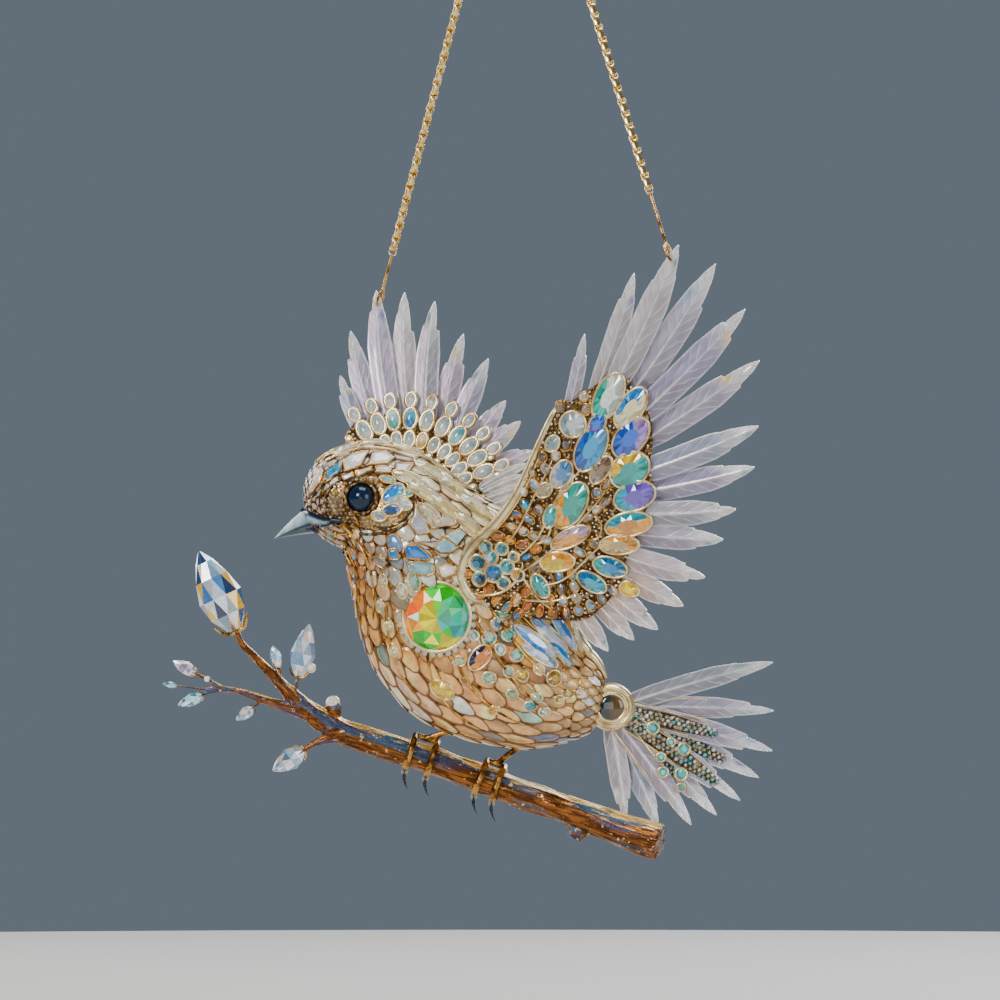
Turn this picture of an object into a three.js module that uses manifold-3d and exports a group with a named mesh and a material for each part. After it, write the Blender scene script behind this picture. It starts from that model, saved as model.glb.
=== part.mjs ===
// A hanging suncatcher: a gilt bird set with glass, with raised glass wings and a fanned tail,
// gripping a gilt branch with crystal buds, and hung by two chains from one ring.
// Units are millimetres. +Z is up, +X is towards the tail, and the front faces -Y.
// The origin is the highest point inside the hanging ring, where a hook bears.
import * as THREE from "three";
import { mergeVertices } from "three/addons/utils/BufferGeometryUtils.js";
import Module from "manifold-3d";

const wasm = await Module();
wasm.setup();

// Driving sizes of the figure
const BODY_LENGTH = 94.5; // from the brow to the end of the rump
const BODY_HALF_DEPTH = 19.5;
const BEAK_LENGTH = 16.5;
const BEAK_RADIUS = 3.2;
const EYE_RADIUS = 4.2;
const EYE_PROUD = 1.8; // how far the eye's centre sits inside the cheek
const BREAST_GEM_RADIUS = 10.2;
const BREAST_GEM_CROWN = 3.2;
const BREAST_GEM_PAVILION = 6;

// Wings and tail
const NEAR_WING_REACH = 95; // from the wing's root to the tip of its longest feather
const FAR_WING_REACH = 64;
const TAIL_REACH = 50.5;
const NEAR_FEATHER_WIDTH = 8.8;
const FAR_FEATHER_WIDTH = 7.5;
const TAIL_FEATHER_WIDTH = 7.4;
const FEATHER_THICKNESS = 1.6;
const FEATHER_SEAT = 6; // how deep a feather's root sits in its mount
const SETTING_WALL = 1.2; // metal in front of and behind the feathers' roots
const SETTING_RIM = 0.8; // how far an oval setting stands out of its wing mount
const WING_LEAN = 12; // degrees that the top of each wing leans away from the body
const WING_YAW = 12; // degrees that both wings turn about the vertical
const TAIL_DRUM_RADIUS = 7.4;
const TAIL_FEATHER_SEAT = 4;
const TAIL_SET_BACK = 2; // the tail passes behind the branch
const TAIL_STONE_RADIUS = 4;
const TAIL_STONE_HEIGHT = 2.4;
const TAIL_STONE_SEAT = 1.2;

// Branch, buds and feet
const BRANCH_RADIUS = 5.7; // at the sawn end
const BUD_RADIUS = 6.8;
const BUD_LENGTH = 26;
const LEG_RADIUS = 1;
const TOE_RADIUS = 1.15;
const TOE_SPACING = 5.2;
const CLAW_LENGTH = 6;

// Hanging gear
const HANG_DROP = 253.5; // from the hook down to the middle of the bird
const BALANCE_OFFSET = 5.7; // the ring hangs this far behind the middle of the bird
const RING_INNER_RADIUS = 5;
const RING_WIRE_RADIUS = 1.2;
const CHAIN_WIDTH = 2.9;
const CHAIN_PITCH = 4.2;
const HOOK_WIRE_RADIUS = 0.5;
const HOOK_EYE_RADIUS = 2.7; // to the middle of the wire
const NEAR_HOOK_LENGTH = 22;
const FAR_HOOK_LENGTH = 16.5;
const HOOK_HOLE_RADIUS = 0.95;
const HOOK_HOLE_INSET = 5; // from a feather's tip

const FIT_GAP = 0.3; // clearance between pieces that meet

// The pose is drawn on a grid of 315 units to the body's length
const UNIT = BODY_LENGTH / 315;
const at = (x, z, y = 0) => new THREE.Vector3(x * UNIT, y, z * UNIT);

const FRONT = new THREE.Vector3(0, -1, 0);
const DEG = Math.PI / 180;
const HEX_FLAT = Math.cos(30 * DEG);

// Materials, as colour, roughness and metalness
const finish = (color, roughness, metalness, opacity = 1) =>
  new THREE.MeshStandardMaterial({ color, roughness, metalness, opacity, transparent: opacity < 1 });
const GILT = finish(0xb98b4a, 0.3, 1);
const ENAMEL = finish(0xd9b98c, 0.35, 0.1);
const FEATHER_GLASS = finish(0xdcdcea, 0.2, 0, 0.7);
const CLEAR_CRYSTAL = finish(0xe6f2f6, 0.05, 0, 0.5);
const BREAST_GLASS = finish(0x2fb79a, 0.08, 0, 0.8);
const EYE_GLASS = finish(0x0c1c33, 0.05, 0);
const HORN = finish(0x9fbcc4, 0.25, 0.2);
const BARK = finish(0x8a5a2c, 0.4, 0.8);

// A closed three.js geometry as a manifold solid
function solid(geometry) {
  const bare = geometry.index ? geometry.toNonIndexed() : geometry.clone();
  bare.deleteAttribute("normal");
  bare.deleteAttribute("uv");
  const merged = mergeVertices(bare, 1e-4);
  const index = merged.index.array;
  const faces = [];
  for (let i = 0; i < index.length; i += 3) {
    const [a, b, c] = [index[i], index[i + 1], index[i + 2]];
    if (a !== b && b !== c && c !== a) faces.push(a, b, c);
  }
  return new wasm.Manifold(
    new wasm.Mesh({
      numProp: 3,
      vertProperties: merged.attributes.position.array,
      triVerts: new Uint32Array(faces),
    }),
  );
}

const joined = (solids) => solids.reduce((all, one) => all.add(one));
const without = (shape, cutters) => cutters.reduce((left, cutter) => left.subtract(cutter), shape);

function meshOf(name, shape, material) {
  const { vertProperties, triVerts } = shape.getMesh();
  const geometry = new THREE.BufferGeometry();
  geometry.setAttribute("position", new THREE.BufferAttribute(vertProperties, 3));
  geometry.setIndex(new THREE.BufferAttribute(triVerts, 1));
  geometry.computeVertexNormals();
  const mesh = new THREE.Mesh(geometry, material);
  mesh.name = name;
  return mesh;
}

// The directions square to a curve: "lift" stays in the drawing's plane and "front" faces the viewer
function squareTo(tangent) {
  const front = FRONT.clone().addScaledVector(tangent, -FRONT.dot(tangent)).normalize();
  return { front, lift: new THREE.Vector3().crossVectors(front, tangent) };
}

// A bar along a curve, from a unit cylinder whose rings take the half-height and half-depth of size(t)
function bar(path, { sides, steps, size, turn = 0, grow = 0 }) {
  const geometry = new THREE.CylinderGeometry(1, 1, 1, sides, steps, false, turn);
  const position = geometry.attributes.position;
  for (let i = 0; i < position.count; i++) {
    const t = position.getY(i) + 0.5;
    const tangent = path.getTangent(t);
    const { front, lift } = squareTo(tangent);
    const [height, depth] = size(t);
    const point = path
      .getPoint(t)
      .addScaledVector(tangent, t < 1e-6 ? -grow : t > 1 - 1e-6 ? grow : 0)
      .addScaledVector(lift, position.getZ(i) * (height + grow))
      .addScaledVector(front, position.getX(i) * (depth + grow));
    position.setXYZ(i, point.x, point.y, point.z);
  }
  return solid(geometry);
}

const straight = (from, to) => new THREE.LineCurve3(from, to);
const smooth = (points) => new THREE.CatmullRomCurve3(points, false, "catmullrom", 0.5);

// A value read from a short list of evenly spaced shares
function shareAt(shares, t) {
  const place = t * (shares.length - 1);
  const low = Math.min(Math.floor(place), shares.length - 2);
  return THREE.MathUtils.lerp(shares[low], shares[low + 1], place - low);
}

// A drum with its axis along Y, tapered a little towards both faces
function drum({ centre, radius, thickness, sides, taper = 1, long = radius, angle = 0 }) {
  const half = thickness / 2;
  const bevelled = taper < 1;
  const profile = [
    [0, -half],
    [taper, -half],
    ...(bevelled ? [[1, -half * 0.6], [1, half * 0.6]] : []),
    [taper, half],
    [0, half],
  ].map(([r, y]) => new THREE.Vector2(r, y));
  const geometry = new THREE.LatheGeometry(profile, sides);
  geometry.scale(long, 1, radius);
  geometry.rotateY(-angle);
  geometry.translate(centre.x, centre.y, centre.z);
  return solid(geometry);
}

// A plate cut from a smooth outline in the drawing's plane, with bevelled edges
function plate(outline, thickness, bevel) {
  const geometry = new THREE.ExtrudeGeometry(new THREE.Shape(outline), {
    depth: thickness - 2 * bevel,
    bevelThickness: bevel,
    bevelSize: bevel,
    bevelOffset: -bevel,
    bevelSegments: 1,
  });
  geometry.rotateX(Math.PI / 2);
  geometry.translate(0, thickness / 2 - bevel, 0);
  return solid(geometry);
}

// The body: rings of [x, z, half-height, half-depth] on the drawing's grid, from brow to rump
const BODY_RINGS = [
  [-193, 98, 8, 8],
  [-189, 98.5, 22, 20],
  [-181, 99, 34, 31],
  [-166, 101, 45, 41],
  [-145, 102, 52, 47],
  [-128, 99, 57, 50],
  [-112, 90, 64, 53],
  [-95, 72, 69, 57],
  [-77, 47, 84, 61],
  [-57, 20, 99, 64],
  [-37, -10, 107, 65],
  [-12, -42, 106, 63],
  [17, -69, 89, 57],
  [46, -90, 65, 47],
  [74, -98, 44, 35],
  [88, -101, 33, 28],
  [98, -103, 26, 23],
];
const DEEPEST_RING = 65;
const bodySpine = smooth(BODY_RINGS.map(([x, z]) => at(x, z)));
const bodyGirth = smooth(
  BODY_RINGS.map(
    ([, , half, depth]) =>
      new THREE.Vector3(half * UNIT, (depth / DEEPEST_RING) * BODY_HALF_DEPTH, 0),
  ),
);
const BODY_SIDES = 18;
const BODY_STEPS = 16;

function bodyShape(grow = 0) {
  return bar(bodySpine, {
    sides: BODY_SIDES,
    steps: BODY_STEPS,
    grow,
    size: (t) => {
      const girth = bodyGirth.getPoint(t);
      return [girth.x, girth.y];
    },
  });
}

// How far the body stands towards the viewer at a point of the drawing
const grownBody = bodyShape(FIT_GAP);
function skinDepth(point) {
  const reach = 4 * BODY_HALF_DEPTH;
  const needle = new THREE.BoxGeometry(0.2, reach, 0.2);
  needle.translate(point.x, -reach / 2, point.z);
  const box = bodyShape().intersect(solid(needle)).boundingBox();
  return -box.min[1];
}

// Eyes and beak
const EYE_CENTRE = at(-138, 102);
const eyeDepth = skinDepth(EYE_CENTRE) - EYE_PROUD;

function eyeBall(side, grow = 0) {
  const ball = new THREE.SphereGeometry(EYE_RADIUS + grow, 10, 6);
  ball.rotateX(Math.PI / 2);
  ball.translate(EYE_CENTRE.x, -side * eyeDepth, EYE_CENTRE.z);
  return solid(ball);
}

const BEAK_ROOT = at(-172, 83);
const BEAK_AIM = new THREE.Vector3(-0.905, 0, -0.425).normalize();
const BEAK_BURIED = 5;
const BEAK_TAPER = [1, 0.95, 0.82, 0.62, 0.38, 0.08];
// The beak is measured from where it leaves the face
const BEAK_FACE = 5;

function beakShape() {
  const from = BEAK_ROOT.clone().addScaledVector(BEAK_AIM, -BEAK_BURIED);
  const tip = BEAK_ROOT.clone().addScaledVector(BEAK_AIM, BEAK_FACE + BEAK_LENGTH - BEAK_BURIED);
  const whole = bar(straight(from, tip), {
    sides: 8,
    steps: 6,
    size: (t) => {
      const radius = BEAK_RADIUS * shareAt(BEAK_TAPER, t);
      return [radius, radius * 0.85];
    },
  });
  return without(whole, [grownBody]);
}

// The round breast gem: a cut stone with its table outwards, set square to the breast
const GEM_CENTRE = at(-63, -16);
const GEM_TILT = 13 * DEG;
const GEM_SIDES = 12;
const gemDepth = skinDepth(GEM_CENTRE) - 1;

function breastGem(side, grow = 0) {
  const radius = BREAST_GEM_RADIUS + grow;
  const profile = [
    [0, -BREAST_GEM_PAVILION - grow],
    [radius * 0.28, -BREAST_GEM_PAVILION - grow],
    [radius, -0.6 - grow],
    [radius, 0.6],
    [radius * 0.6, BREAST_GEM_CROWN + grow],
    [0, BREAST_GEM_CROWN + grow],
  ].map(([r, y]) => new THREE.Vector2(r, y));
  const stone = new THREE.LatheGeometry(profile, GEM_SIDES);
  // The table faces out along Y and leans towards the breast
  stone.rotateX(side > 0 ? Math.PI : 0);
  stone.rotateZ(-side * GEM_TILT);
  stone.translate(GEM_CENTRE.x, -side * gemDepth, GEM_CENTRE.z);
  return solid(stone);
}

// Feathers are blades in the drawing's plane. Each sits in one of two layers, so that neighbours pass.
const LAYER_OFFSET = (FEATHER_THICKNESS + FIT_GAP) / 2 + 0.1;
const MOUNT_THICKNESS = 2 * (LAYER_OFFSET + FEATHER_THICKNESS / 2 + FIT_GAP + SETTING_WALL);
const WING_BLADE = [0.34, 0.66, 0.95, 0.98, 0.64, 0.1];
const TAIL_BLADE = [0.14, 0.56, 0.86, 1, 0.76, 0.12];

const HEXAGON = { sides: 6, turn: 0, wide: 1, deep: 1 / HEX_FLAT, grow: 0 };
// A slot for a blade is square in section and clear of it all round
const SLOT = { sides: 4, turn: Math.PI / 4, wide: Math.SQRT2, deep: Math.SQRT2, grow: Math.SQRT2 * FIT_GAP };

function blade({ root, tip, width, layer, outline, bow }, { sides, turn, wide, deep, grow } = HEXAGON) {
  const along = new THREE.Vector3().subVectors(tip, root);
  const { lift } = squareTo(along.clone().normalize());
  const depth = layer * LAYER_OFFSET;
  const middle = root.clone().addScaledVector(along, 0.5).addScaledVector(lift, bow * along.length());
  const path = new THREE.QuadraticBezierCurve3(
    root.clone().setY(depth),
    middle.setY(depth),
    tip.clone().setY(depth),
  );
  return bar(path, {
    sides,
    turn,
    grow,
    steps: outline.length - 1,
    size: (t) => [(wide * width * shareAt(outline, t)) / 2, (deep * FEATHER_THICKNESS) / 2],
  });
}

// A fan is a list of feathers as [tip angle, tip reach, seat angle, seat reach, width],
// with reaches and widths as shares, and angles in degrees above +X about the fan's centre.
// The bow is how far a feather's middle rises, as a share of its length.
const polar = (degrees, reach) =>
  new THREE.Vector3(Math.cos(degrees * DEG) * reach, 0, Math.sin(degrees * DEG) * reach);

// Turns a place seen from the front into the plane of a wing that leans and turns
function inWingPlane(point, lean) {
  const v = point.z / Math.cos(lean * DEG);
  const u = (point.x + v * Math.sin(lean * DEG) * Math.sin(WING_YAW * DEG)) / Math.cos(WING_YAW * DEG);
  return new THREE.Vector3(u, 0, v);
}

function layOut(fan, { reach, width, bow, lean = 0, seatDepth = FEATHER_SEAT, outline = WING_BLADE }) {
  return fan.map(([tipAngle, tipShare, seatAngle, seatShare, widthShare], i) => {
    const place = (degrees, share) =>
      lean ? inWingPlane(polar(degrees, share * reach), lean) : polar(degrees, share * reach);
    const tip = place(tipAngle, tipShare);
    const seat = place(seatAngle, seatShare);
    const aim = new THREE.Vector3().subVectors(tip, seat).normalize();
    const root = seat.clone().addScaledVector(aim, -seatDepth);
    return { root, seat, tip, aim, bow, outline, width: widthShare * width, layer: i % 2 ? 1 : -1 };
  });
}

// A hole near a feather's tip for the hook, and where its middle is
const hookHole = (feather) => feather.tip.clone().addScaledVector(feather.aim, -HOOK_HOLE_INSET);
function holeCutter(feather) {
  const centre = hookHole(feather).setY(feather.layer * LAYER_OFFSET);
  return drum({ centre, radius: HOOK_HOLE_RADIUS, thickness: 3 * FEATHER_THICKNESS, sides: 8 });
}

// The near wing, from its leading edge round to the feathers beside the body
const NEAR_FAN = [
  [82.9, 0.65, 85, 0.44, 0.5],
  [74.5, 0.86, 76, 0.51, 0.74],
  [67.9, 0.99, 70, 0.555, 0.94],
  [60.7, 0.98, 64, 0.525, 1],
  [51.3, 0.92, 56.5, 0.5, 0.98],
  [42, 0.83, 49, 0.44, 0.94],
  [30, 0.715, 38.5, 0.365, 0.92],
  [20.5, 0.645, 28.5, 0.335, 0.88],
  [10.2, 0.56, 18, 0.285, 0.88],
  [0, 0.508, 5, 0.25, 0.86],
  [-13.9, 0.47, -12, 0.225, 0.86],
  [-28.2, 0.438, -27.5, 0.23, 0.82],
  [-41.6, 0.416, -43, 0.24, 0.78],
  [-53.5, 0.391, -57, 0.248, 0.72],
  [-65.6, 0.378, -71, 0.258, 0.68],
];
// The wing mount's leading edge, from the underside by the body up to the wrist, as shares of the reach
const NEAR_LEADING_EDGE = [
  [-0.01, -0.245],
  [-0.13, -0.235],
  [-0.24, -0.19],
  [-0.298, -0.11],
  [-0.28, -0.03],
  [-0.19, 0.055],
  [-0.12, 0.155],
  [-0.066, 0.28],
  [-0.016, 0.385],
  [0.015, 0.44],
];
const NEAR_HOOK_FEATHER = 2;
const SHOULDER = new THREE.Vector3(-0.237, 0, -0.088);
const SHOULDER_RADIUS = 7.2;
const SHOULDER_RISE = 1.4;

// The far wing, from the feathers over the head round to those over the back
const FAR_FAN = [
  [118.2, 0.664, 122, 0.43, 0.7],
  [108.7, 0.848, 112, 0.42, 0.92],
  [98.6, 1, 100, 0.41, 1],
  [91, 0.986, 88, 0.4, 1],
  [81.9, 0.945, 75.5, 0.39, 1],
  [71.6, 0.83, 63.5, 0.385, 0.96],
  [59.7, 0.767, 52, 0.4, 0.92],
  [45.5, 0.66, 41, 0.43, 0.84],
  [34.2, 0.652, 30.5, 0.44, 0.84],
  [21.6, 0.634, 20, 0.46, 0.84],
];
const FAR_HOOK_FEATHER = 2;
const FAR_ROOT_EDGE = [
  [0.4, 0.02],
  [0.2, -0.16],
  [-0.06, -0.16],
  [-0.22, 0.06],
  [-0.29, 0.3],
];

// The tail, from its top feather down to those behind the branch
const TAIL_FAN = [
  [15.4, 1, 14, 0.158, 0.84],
  [-1.4, 0.97, -2, 0.158, 0.86],
  [-15.2, 0.995, -16, 0.158, 0.94],
  [-25.6, 0.975, -28, 0.158, 0.94],
  [-35.9, 0.947, -40, 0.158, 0.94],
  [-45.7, 0.901, -52, 0.158, 0.9],
  [-55.8, 0.848, -63, 0.158, 0.9],
  [-68.6, 0.766, -75, 0.158, 0.88],
  [-82.9, 0.671, -88, 0.158, 0.84],
];

const OVAL_HALF_LENGTH = 6.4;
const OVAL_SIDES = 6;

// An oval setting over each feather's root. Outlying feathers have none.
function ovalSettings(feathers) {
  return feathers.map(({ seat, aim, width }) =>
    drum({
      centre: seat.clone().addScaledVector(aim, -OVAL_HALF_LENGTH * 0.45),
      long: OVAL_HALF_LENGTH,
      radius: width * 0.46,
      thickness: MOUNT_THICKNESS + 2 * SETTING_RIM,
      sides: OVAL_SIDES,
      angle: Math.atan2(aim.z, aim.x),
    }),
  );
}

function wingMount(feathers, edge, boss, body) {
  const outline = [...edge, ...feathers.map(({ seat, aim }) => seat.clone().addScaledVector(aim, -1.5))];
  const face = plate(
    outline.map(({ x, z }) => new THREE.Vector2(x, z)),
    MOUNT_THICKNESS,
    SETTING_WALL / 2,
  );
  const slots = feathers.map((feather) => blade(feather, SLOT));
  return without(joined([face, ...ovalSettings(feathers), boss]), [...slots, body]);
}

const suncatcher = new THREE.Group();
const bird = new THREE.Group();
bird.position.set(-BALANCE_OFFSET, 0, -HANG_DROP);
suncatcher.add(bird);

// A wing is a group with its origin at the fan's centre. Side is 1 for the near wing and -1 for the far one.
function wingGroup(centre, side) {
  const turned = new THREE.Group();
  turned.position.copy(centre);
  turned.rotation.set(side * WING_LEAN * DEG, 0, -WING_YAW * DEG, "ZYX");
  bird.add(turned);
  turned.updateMatrixWorld(true);
  return turned;
}

// The body as seen from inside a turned group
function bodyWithin(group) {
  const toGroup = new THREE.Matrix4().copy(group.matrix).invert();
  return grownBody.transform(toGroup.elements);
}

function addFan(group, feathers, names, hookFeather) {
  feathers.forEach((feather, i) => {
    let shape = blade(feather);
    if (i === hookFeather) shape = shape.subtract(holeCutter(feather));
    group.add(meshOf(names(i), shape, FEATHER_GLASS));
  });
}

const numbered = (stem) => (i) => `${stem}_${String(i + 1).padStart(2, "0")}`;

// Depth at which a wing's plane passes over the body: the skin plus half the mount
const wingStand = (point) => skinDepth(point) + MOUNT_THICKNESS / 2 - 1;

// The near wing
const NEAR_CENTRE = at(58.5, 60);
const nearShoulder = SHOULDER.clone().multiplyScalar(NEAR_WING_REACH);
// Where the shoulder comes, a leaning and turned plane has swung back from the fan's centre by this much
const nearSwing =
  -nearShoulder.x * Math.tan(WING_YAW * DEG) - nearShoulder.z * Math.tan(WING_LEAN * DEG);
NEAR_CENTRE.y = -(wingStand(NEAR_CENTRE.clone().add(nearShoulder)) + nearSwing);
const nearWing = wingGroup(NEAR_CENTRE, 1);
const nearFeathers = layOut(NEAR_FAN, {
  reach: NEAR_WING_REACH,
  width: NEAR_FEATHER_WIDTH,
  lean: WING_LEAN,
  bow: -0.03,
});
const nearBoss = drum({
  centre: inWingPlane(nearShoulder, WING_LEAN).setY(MOUNT_THICKNESS / 2 - SHOULDER_RISE),
  radius: SHOULDER_RADIUS,
  thickness: 2 * MOUNT_THICKNESS,
  taper: 0.86,
  sides: 12,
});
const nearEdge = NEAR_LEADING_EDGE.map(([x, z]) =>
  inWingPlane(new THREE.Vector3(x, 0, z).multiplyScalar(NEAR_WING_REACH), WING_LEAN),
);
nearWing.add(meshOf("near_wing_mount", wingMount(nearFeathers, nearEdge, nearBoss, bodyWithin(nearWing)), GILT));
addFan(nearWing, nearFeathers, numbered("near_wing_feather"), NEAR_HOOK_FEATHER);

// The far wing
const FAR_CENTRE = at(-93.5, 100);
FAR_CENTRE.y = wingStand(at(-90, 76));
const farWing = wingGroup(FAR_CENTRE, -1);
const farFeathers = layOut(FAR_FAN, {
  reach: FAR_WING_REACH,
  width: FAR_FEATHER_WIDTH,
  lean: -WING_LEAN,
  bow: 0.05,
});
const farBoss = drum({
  centre: inWingPlane(new THREE.Vector3(0, 0, -0.02 * FAR_WING_REACH), -WING_LEAN).setY(-MOUNT_THICKNESS / 2),
  radius: SHOULDER_RADIUS,
  thickness: 2 * MOUNT_THICKNESS,
  taper: 0.86,
  sides: 12,
});
const farEdge = FAR_ROOT_EDGE.map(([x, z]) =>
  inWingPlane(new THREE.Vector3(x, 0, z).multiplyScalar(FAR_WING_REACH), -WING_LEAN),
);
farWing.add(meshOf("far_wing_mount", wingMount(farFeathers, farEdge, farBoss, bodyWithin(farWing)), GILT));
addFan(farWing, farFeathers, numbered("far_wing_feather"), FAR_HOOK_FEATHER);

// The body with its eyes, beak and breast gems
const eyes = { near: 1, far: -1 };
bird.add(
  meshOf(
    "body",
    without(
      bodyShape(),
      Object.values(eyes).flatMap((side) => [eyeBall(side, FIT_GAP), breastGem(side, FIT_GAP)]),
    ),
    ENAMEL,
  ),
);
for (const [name, side] of Object.entries(eyes)) {
  bird.add(meshOf(`eye_${name}`, eyeBall(side), EYE_GLASS));
  bird.add(meshOf(`breast_gem_${name}`, breastGem(side), BREAST_GLASS));
}
bird.add(meshOf("beak", beakShape(), HORN));

// The tail: a drum at the end of the rump holds the feathers and a round stone
const tailGroup = new THREE.Group();
tailGroup.position.copy(at(111, -107, TAIL_SET_BACK));
bird.add(tailGroup);
tailGroup.updateMatrixWorld(true);
const tailFeathers = layOut(TAIL_FAN, {
  reach: TAIL_REACH,
  width: TAIL_FEATHER_WIDTH,
  seatDepth: TAIL_FEATHER_SEAT,
  outline: TAIL_BLADE,
  bow: 0.025,
});
const tailDrum = drum({
  centre: new THREE.Vector3(),
  radius: TAIL_DRUM_RADIUS,
  thickness: 2 * MOUNT_THICKNESS,
  taper: 0.86,
  sides: 12,
});
const stoneFace = MOUNT_THICKNESS - TAIL_STONE_SEAT;
const stoneSeat = drum({
  centre: new THREE.Vector3(0, -MOUNT_THICKNESS, 0),
  radius: TAIL_STONE_RADIUS + FIT_GAP,
  thickness: 2 * TAIL_STONE_SEAT,
  sides: 14,
});
const tailSlots = tailFeathers.map((feather) => blade(feather, SLOT));
tailGroup.add(meshOf("tail_mount", without(tailDrum, [...tailSlots, stoneSeat, bodyWithin(tailGroup)]), GILT));
const stoneProfile = [
  [0, FIT_GAP],
  [1, FIT_GAP],
  [1, TAIL_STONE_SEAT],
  [0.7, TAIL_STONE_HEIGHT * 0.85],
  [0, TAIL_STONE_HEIGHT],
].map(([r, y]) => new THREE.Vector2(r * TAIL_STONE_RADIUS, y));
const tailStone = new THREE.LatheGeometry(stoneProfile, 14);
tailStone.rotateX(Math.PI);
tailStone.translate(0, -stoneFace, 0);
tailGroup.add(meshOf("tail_stone", solid(tailStone), EYE_GLASS));
addFan(tailGroup, tailFeathers, numbered("tail_feather"));

// The branch: [x, z, radius share] on the drawing's grid. It runs nearer the viewer towards its sawn end.
const branchDepth = (x) => 1 - 0.00022 * Math.max(x + 60, 0) ** 2;
const BRANCH_ROUTE = [
  [160, -241, 0.92],
  [120, -229, 0.9],
  [75, -212, 0.82],
  [42, -201, 0.77],
  [0, -186, 0.77],
  [-35, -173, 0.78],
  [-70, -160, 0.77],
  [-115, -146, 0.74],
  [-160, -131, 0.7],
  [-186, -115, 0.63],
  [-206, -98, 0.46],
  [-225, -78, 0.29],
  [-240, -62, 0.24],
  [-257, -46, 0.21],
  [-264, -31, 0.19],
];
const TWIG_ROUTES = [
  [
    [-196, -112, 0.44],
    [-230, -102, 0.28],
    [-255, -93, 0.21],
    [-278, -88, 0.17],
    [-292, -80, 0.13],
    [-304, -73.5, 0.1],
  ],
  [
    [-278, -88, 0.15],
    [-300, -89, 0.1],
    [-322, -86, 0.08],
  ],
  [
    [-270, -90, 0.14],
    [-290, -92, 0.12],
    [-297, -95, 0.1],
  ],
  [
    [-284, -85, 0.12],
    [-291, -79, 0.1],
    [-294, -76, 0.09],
  ],
  [
    [-236, -100, 0.12],
    [-242, -104, 0.1],
    [-246, -107, 0.09],
  ],
  [
    [-164, -136, 0.4],
    [-184, -142, 0.22],
    [-196, -150, 0.16],
  ],
  [
    [-207, -96, 0.22],
    [-203.5, -84, 0.14],
    [-202, -77, 0.12],
  ],
  [
    [-221, -79, 0.16],
    [-221, -70, 0.13],
    [-222, -66, 0.12],
  ],
];
const routePoint = ([x, z]) => at(x, z, branchDepth(x));
const radiiOf = (route) => route.map(([, , share]) => share * BRANCH_RADIUS);

function limb(route, sides, steps) {
  const radii = radiiOf(route);
  return bar(smooth(route.map(routePoint)), {
    sides,
    steps,
    size: (t) => {
      const radius = shareAt(radii, t);
      return [radius, radius];
    },
  });
}

// Knots where old twigs were cut away
const KNOTS = [
  [78, -231, 0.56],
  [-166, -110, 0.5],
];
const knotOn = ([x, z, share]) => {
  const knot = new THREE.DodecahedronGeometry(share * BRANCH_RADIUS);
  knot.translate(x * UNIT, branchDepth(x), z * UNIT);
  return solid(knot);
};
const branchShape = joined([
  limb(BRANCH_ROUTE, 8, 16),
  ...TWIG_ROUTES.map((route) => limb(route, 5, route.length - 1)),
  ...KNOTS.map(knotOn),
]);
bird.add(meshOf("branch", branchShape, BARK));

// Crystals grow from the twigs' ends, with their first facets FIT_GAP beyond the metal
const CRYSTAL_PROFILE = [0.3, 0.82, 1, 0.86, 0.5, 0.06];
const CRYSTAL_FLATNESS = 0.72;

function crystal(end, aim, { length, radius, sides }) {
  const from = end.clone().addScaledVector(aim, FIT_GAP);
  const tip = from.clone().addScaledVector(aim, length);
  return bar(straight(from, tip), {
    sides,
    steps: CRYSTAL_PROFILE.length - 1,
    size: (t) => {
      const half = radius * shareAt(CRYSTAL_PROFILE, t);
      return [half, half * CRYSTAL_FLATNESS];
    },
  });
}

// Where a route ends, and which way it points there
function endOf(route) {
  const [before, last] = route.slice(-2).map(routePoint);
  return { end: last, aim: last.clone().sub(before).normalize() };
}

const LEAF_CRYSTALS = [
  { name: "leaf_crystal_left", twig: 0, length: 7.6, radius: 2.1 },
  { name: "leaf_crystal_tip", twig: 1, length: 4.4, radius: 1 },
  { name: "leaf_crystal_lower_left", twig: 2, length: 8, radius: 2 },
  { name: "leaf_crystal_small", twig: 4, length: 6.4, radius: 1.9 },
  { name: "leaf_crystal_under", twig: 5, length: 11, radius: 3.4 },
  { name: "leaf_crystal_upright", twig: 6, length: 16, radius: 3.8 },
  { name: "leaf_crystal_fork", twig: 7, length: 6, radius: 1.9 },
];
const bud = endOf(BRANCH_ROUTE);
bird.add(
  meshOf("bud_crystal", crystal(bud.end, bud.aim, { length: BUD_LENGTH, radius: BUD_RADIUS, sides: 8 }), CLEAR_CRYSTAL),
);
for (const { name, twig, length, radius } of LEAF_CRYSTALS) {
  const { end, aim } = endOf(TWIG_ROUTES[twig]);
  bird.add(meshOf(name, crystal(end, aim, { length, radius, sides: 6 }), CLEAR_CRYSTAL));
}

// Feet: two toes wrapped round the branch, a knuckle between them, claws below and a leg up to the belly
const branchPath = smooth(BRANCH_ROUTE.map(routePoint));
const branchRadii = radiiOf(BRANCH_ROUTE);
const FEET = [
  { name: "foot_front", share: 0.444, belly: at(-40, -128, -1.5) },
  { name: "foot_rear", share: 0.307, belly: at(28, -140, -3) },
];
const BRANCH_SPAN = branchPath.getLength();

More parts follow.
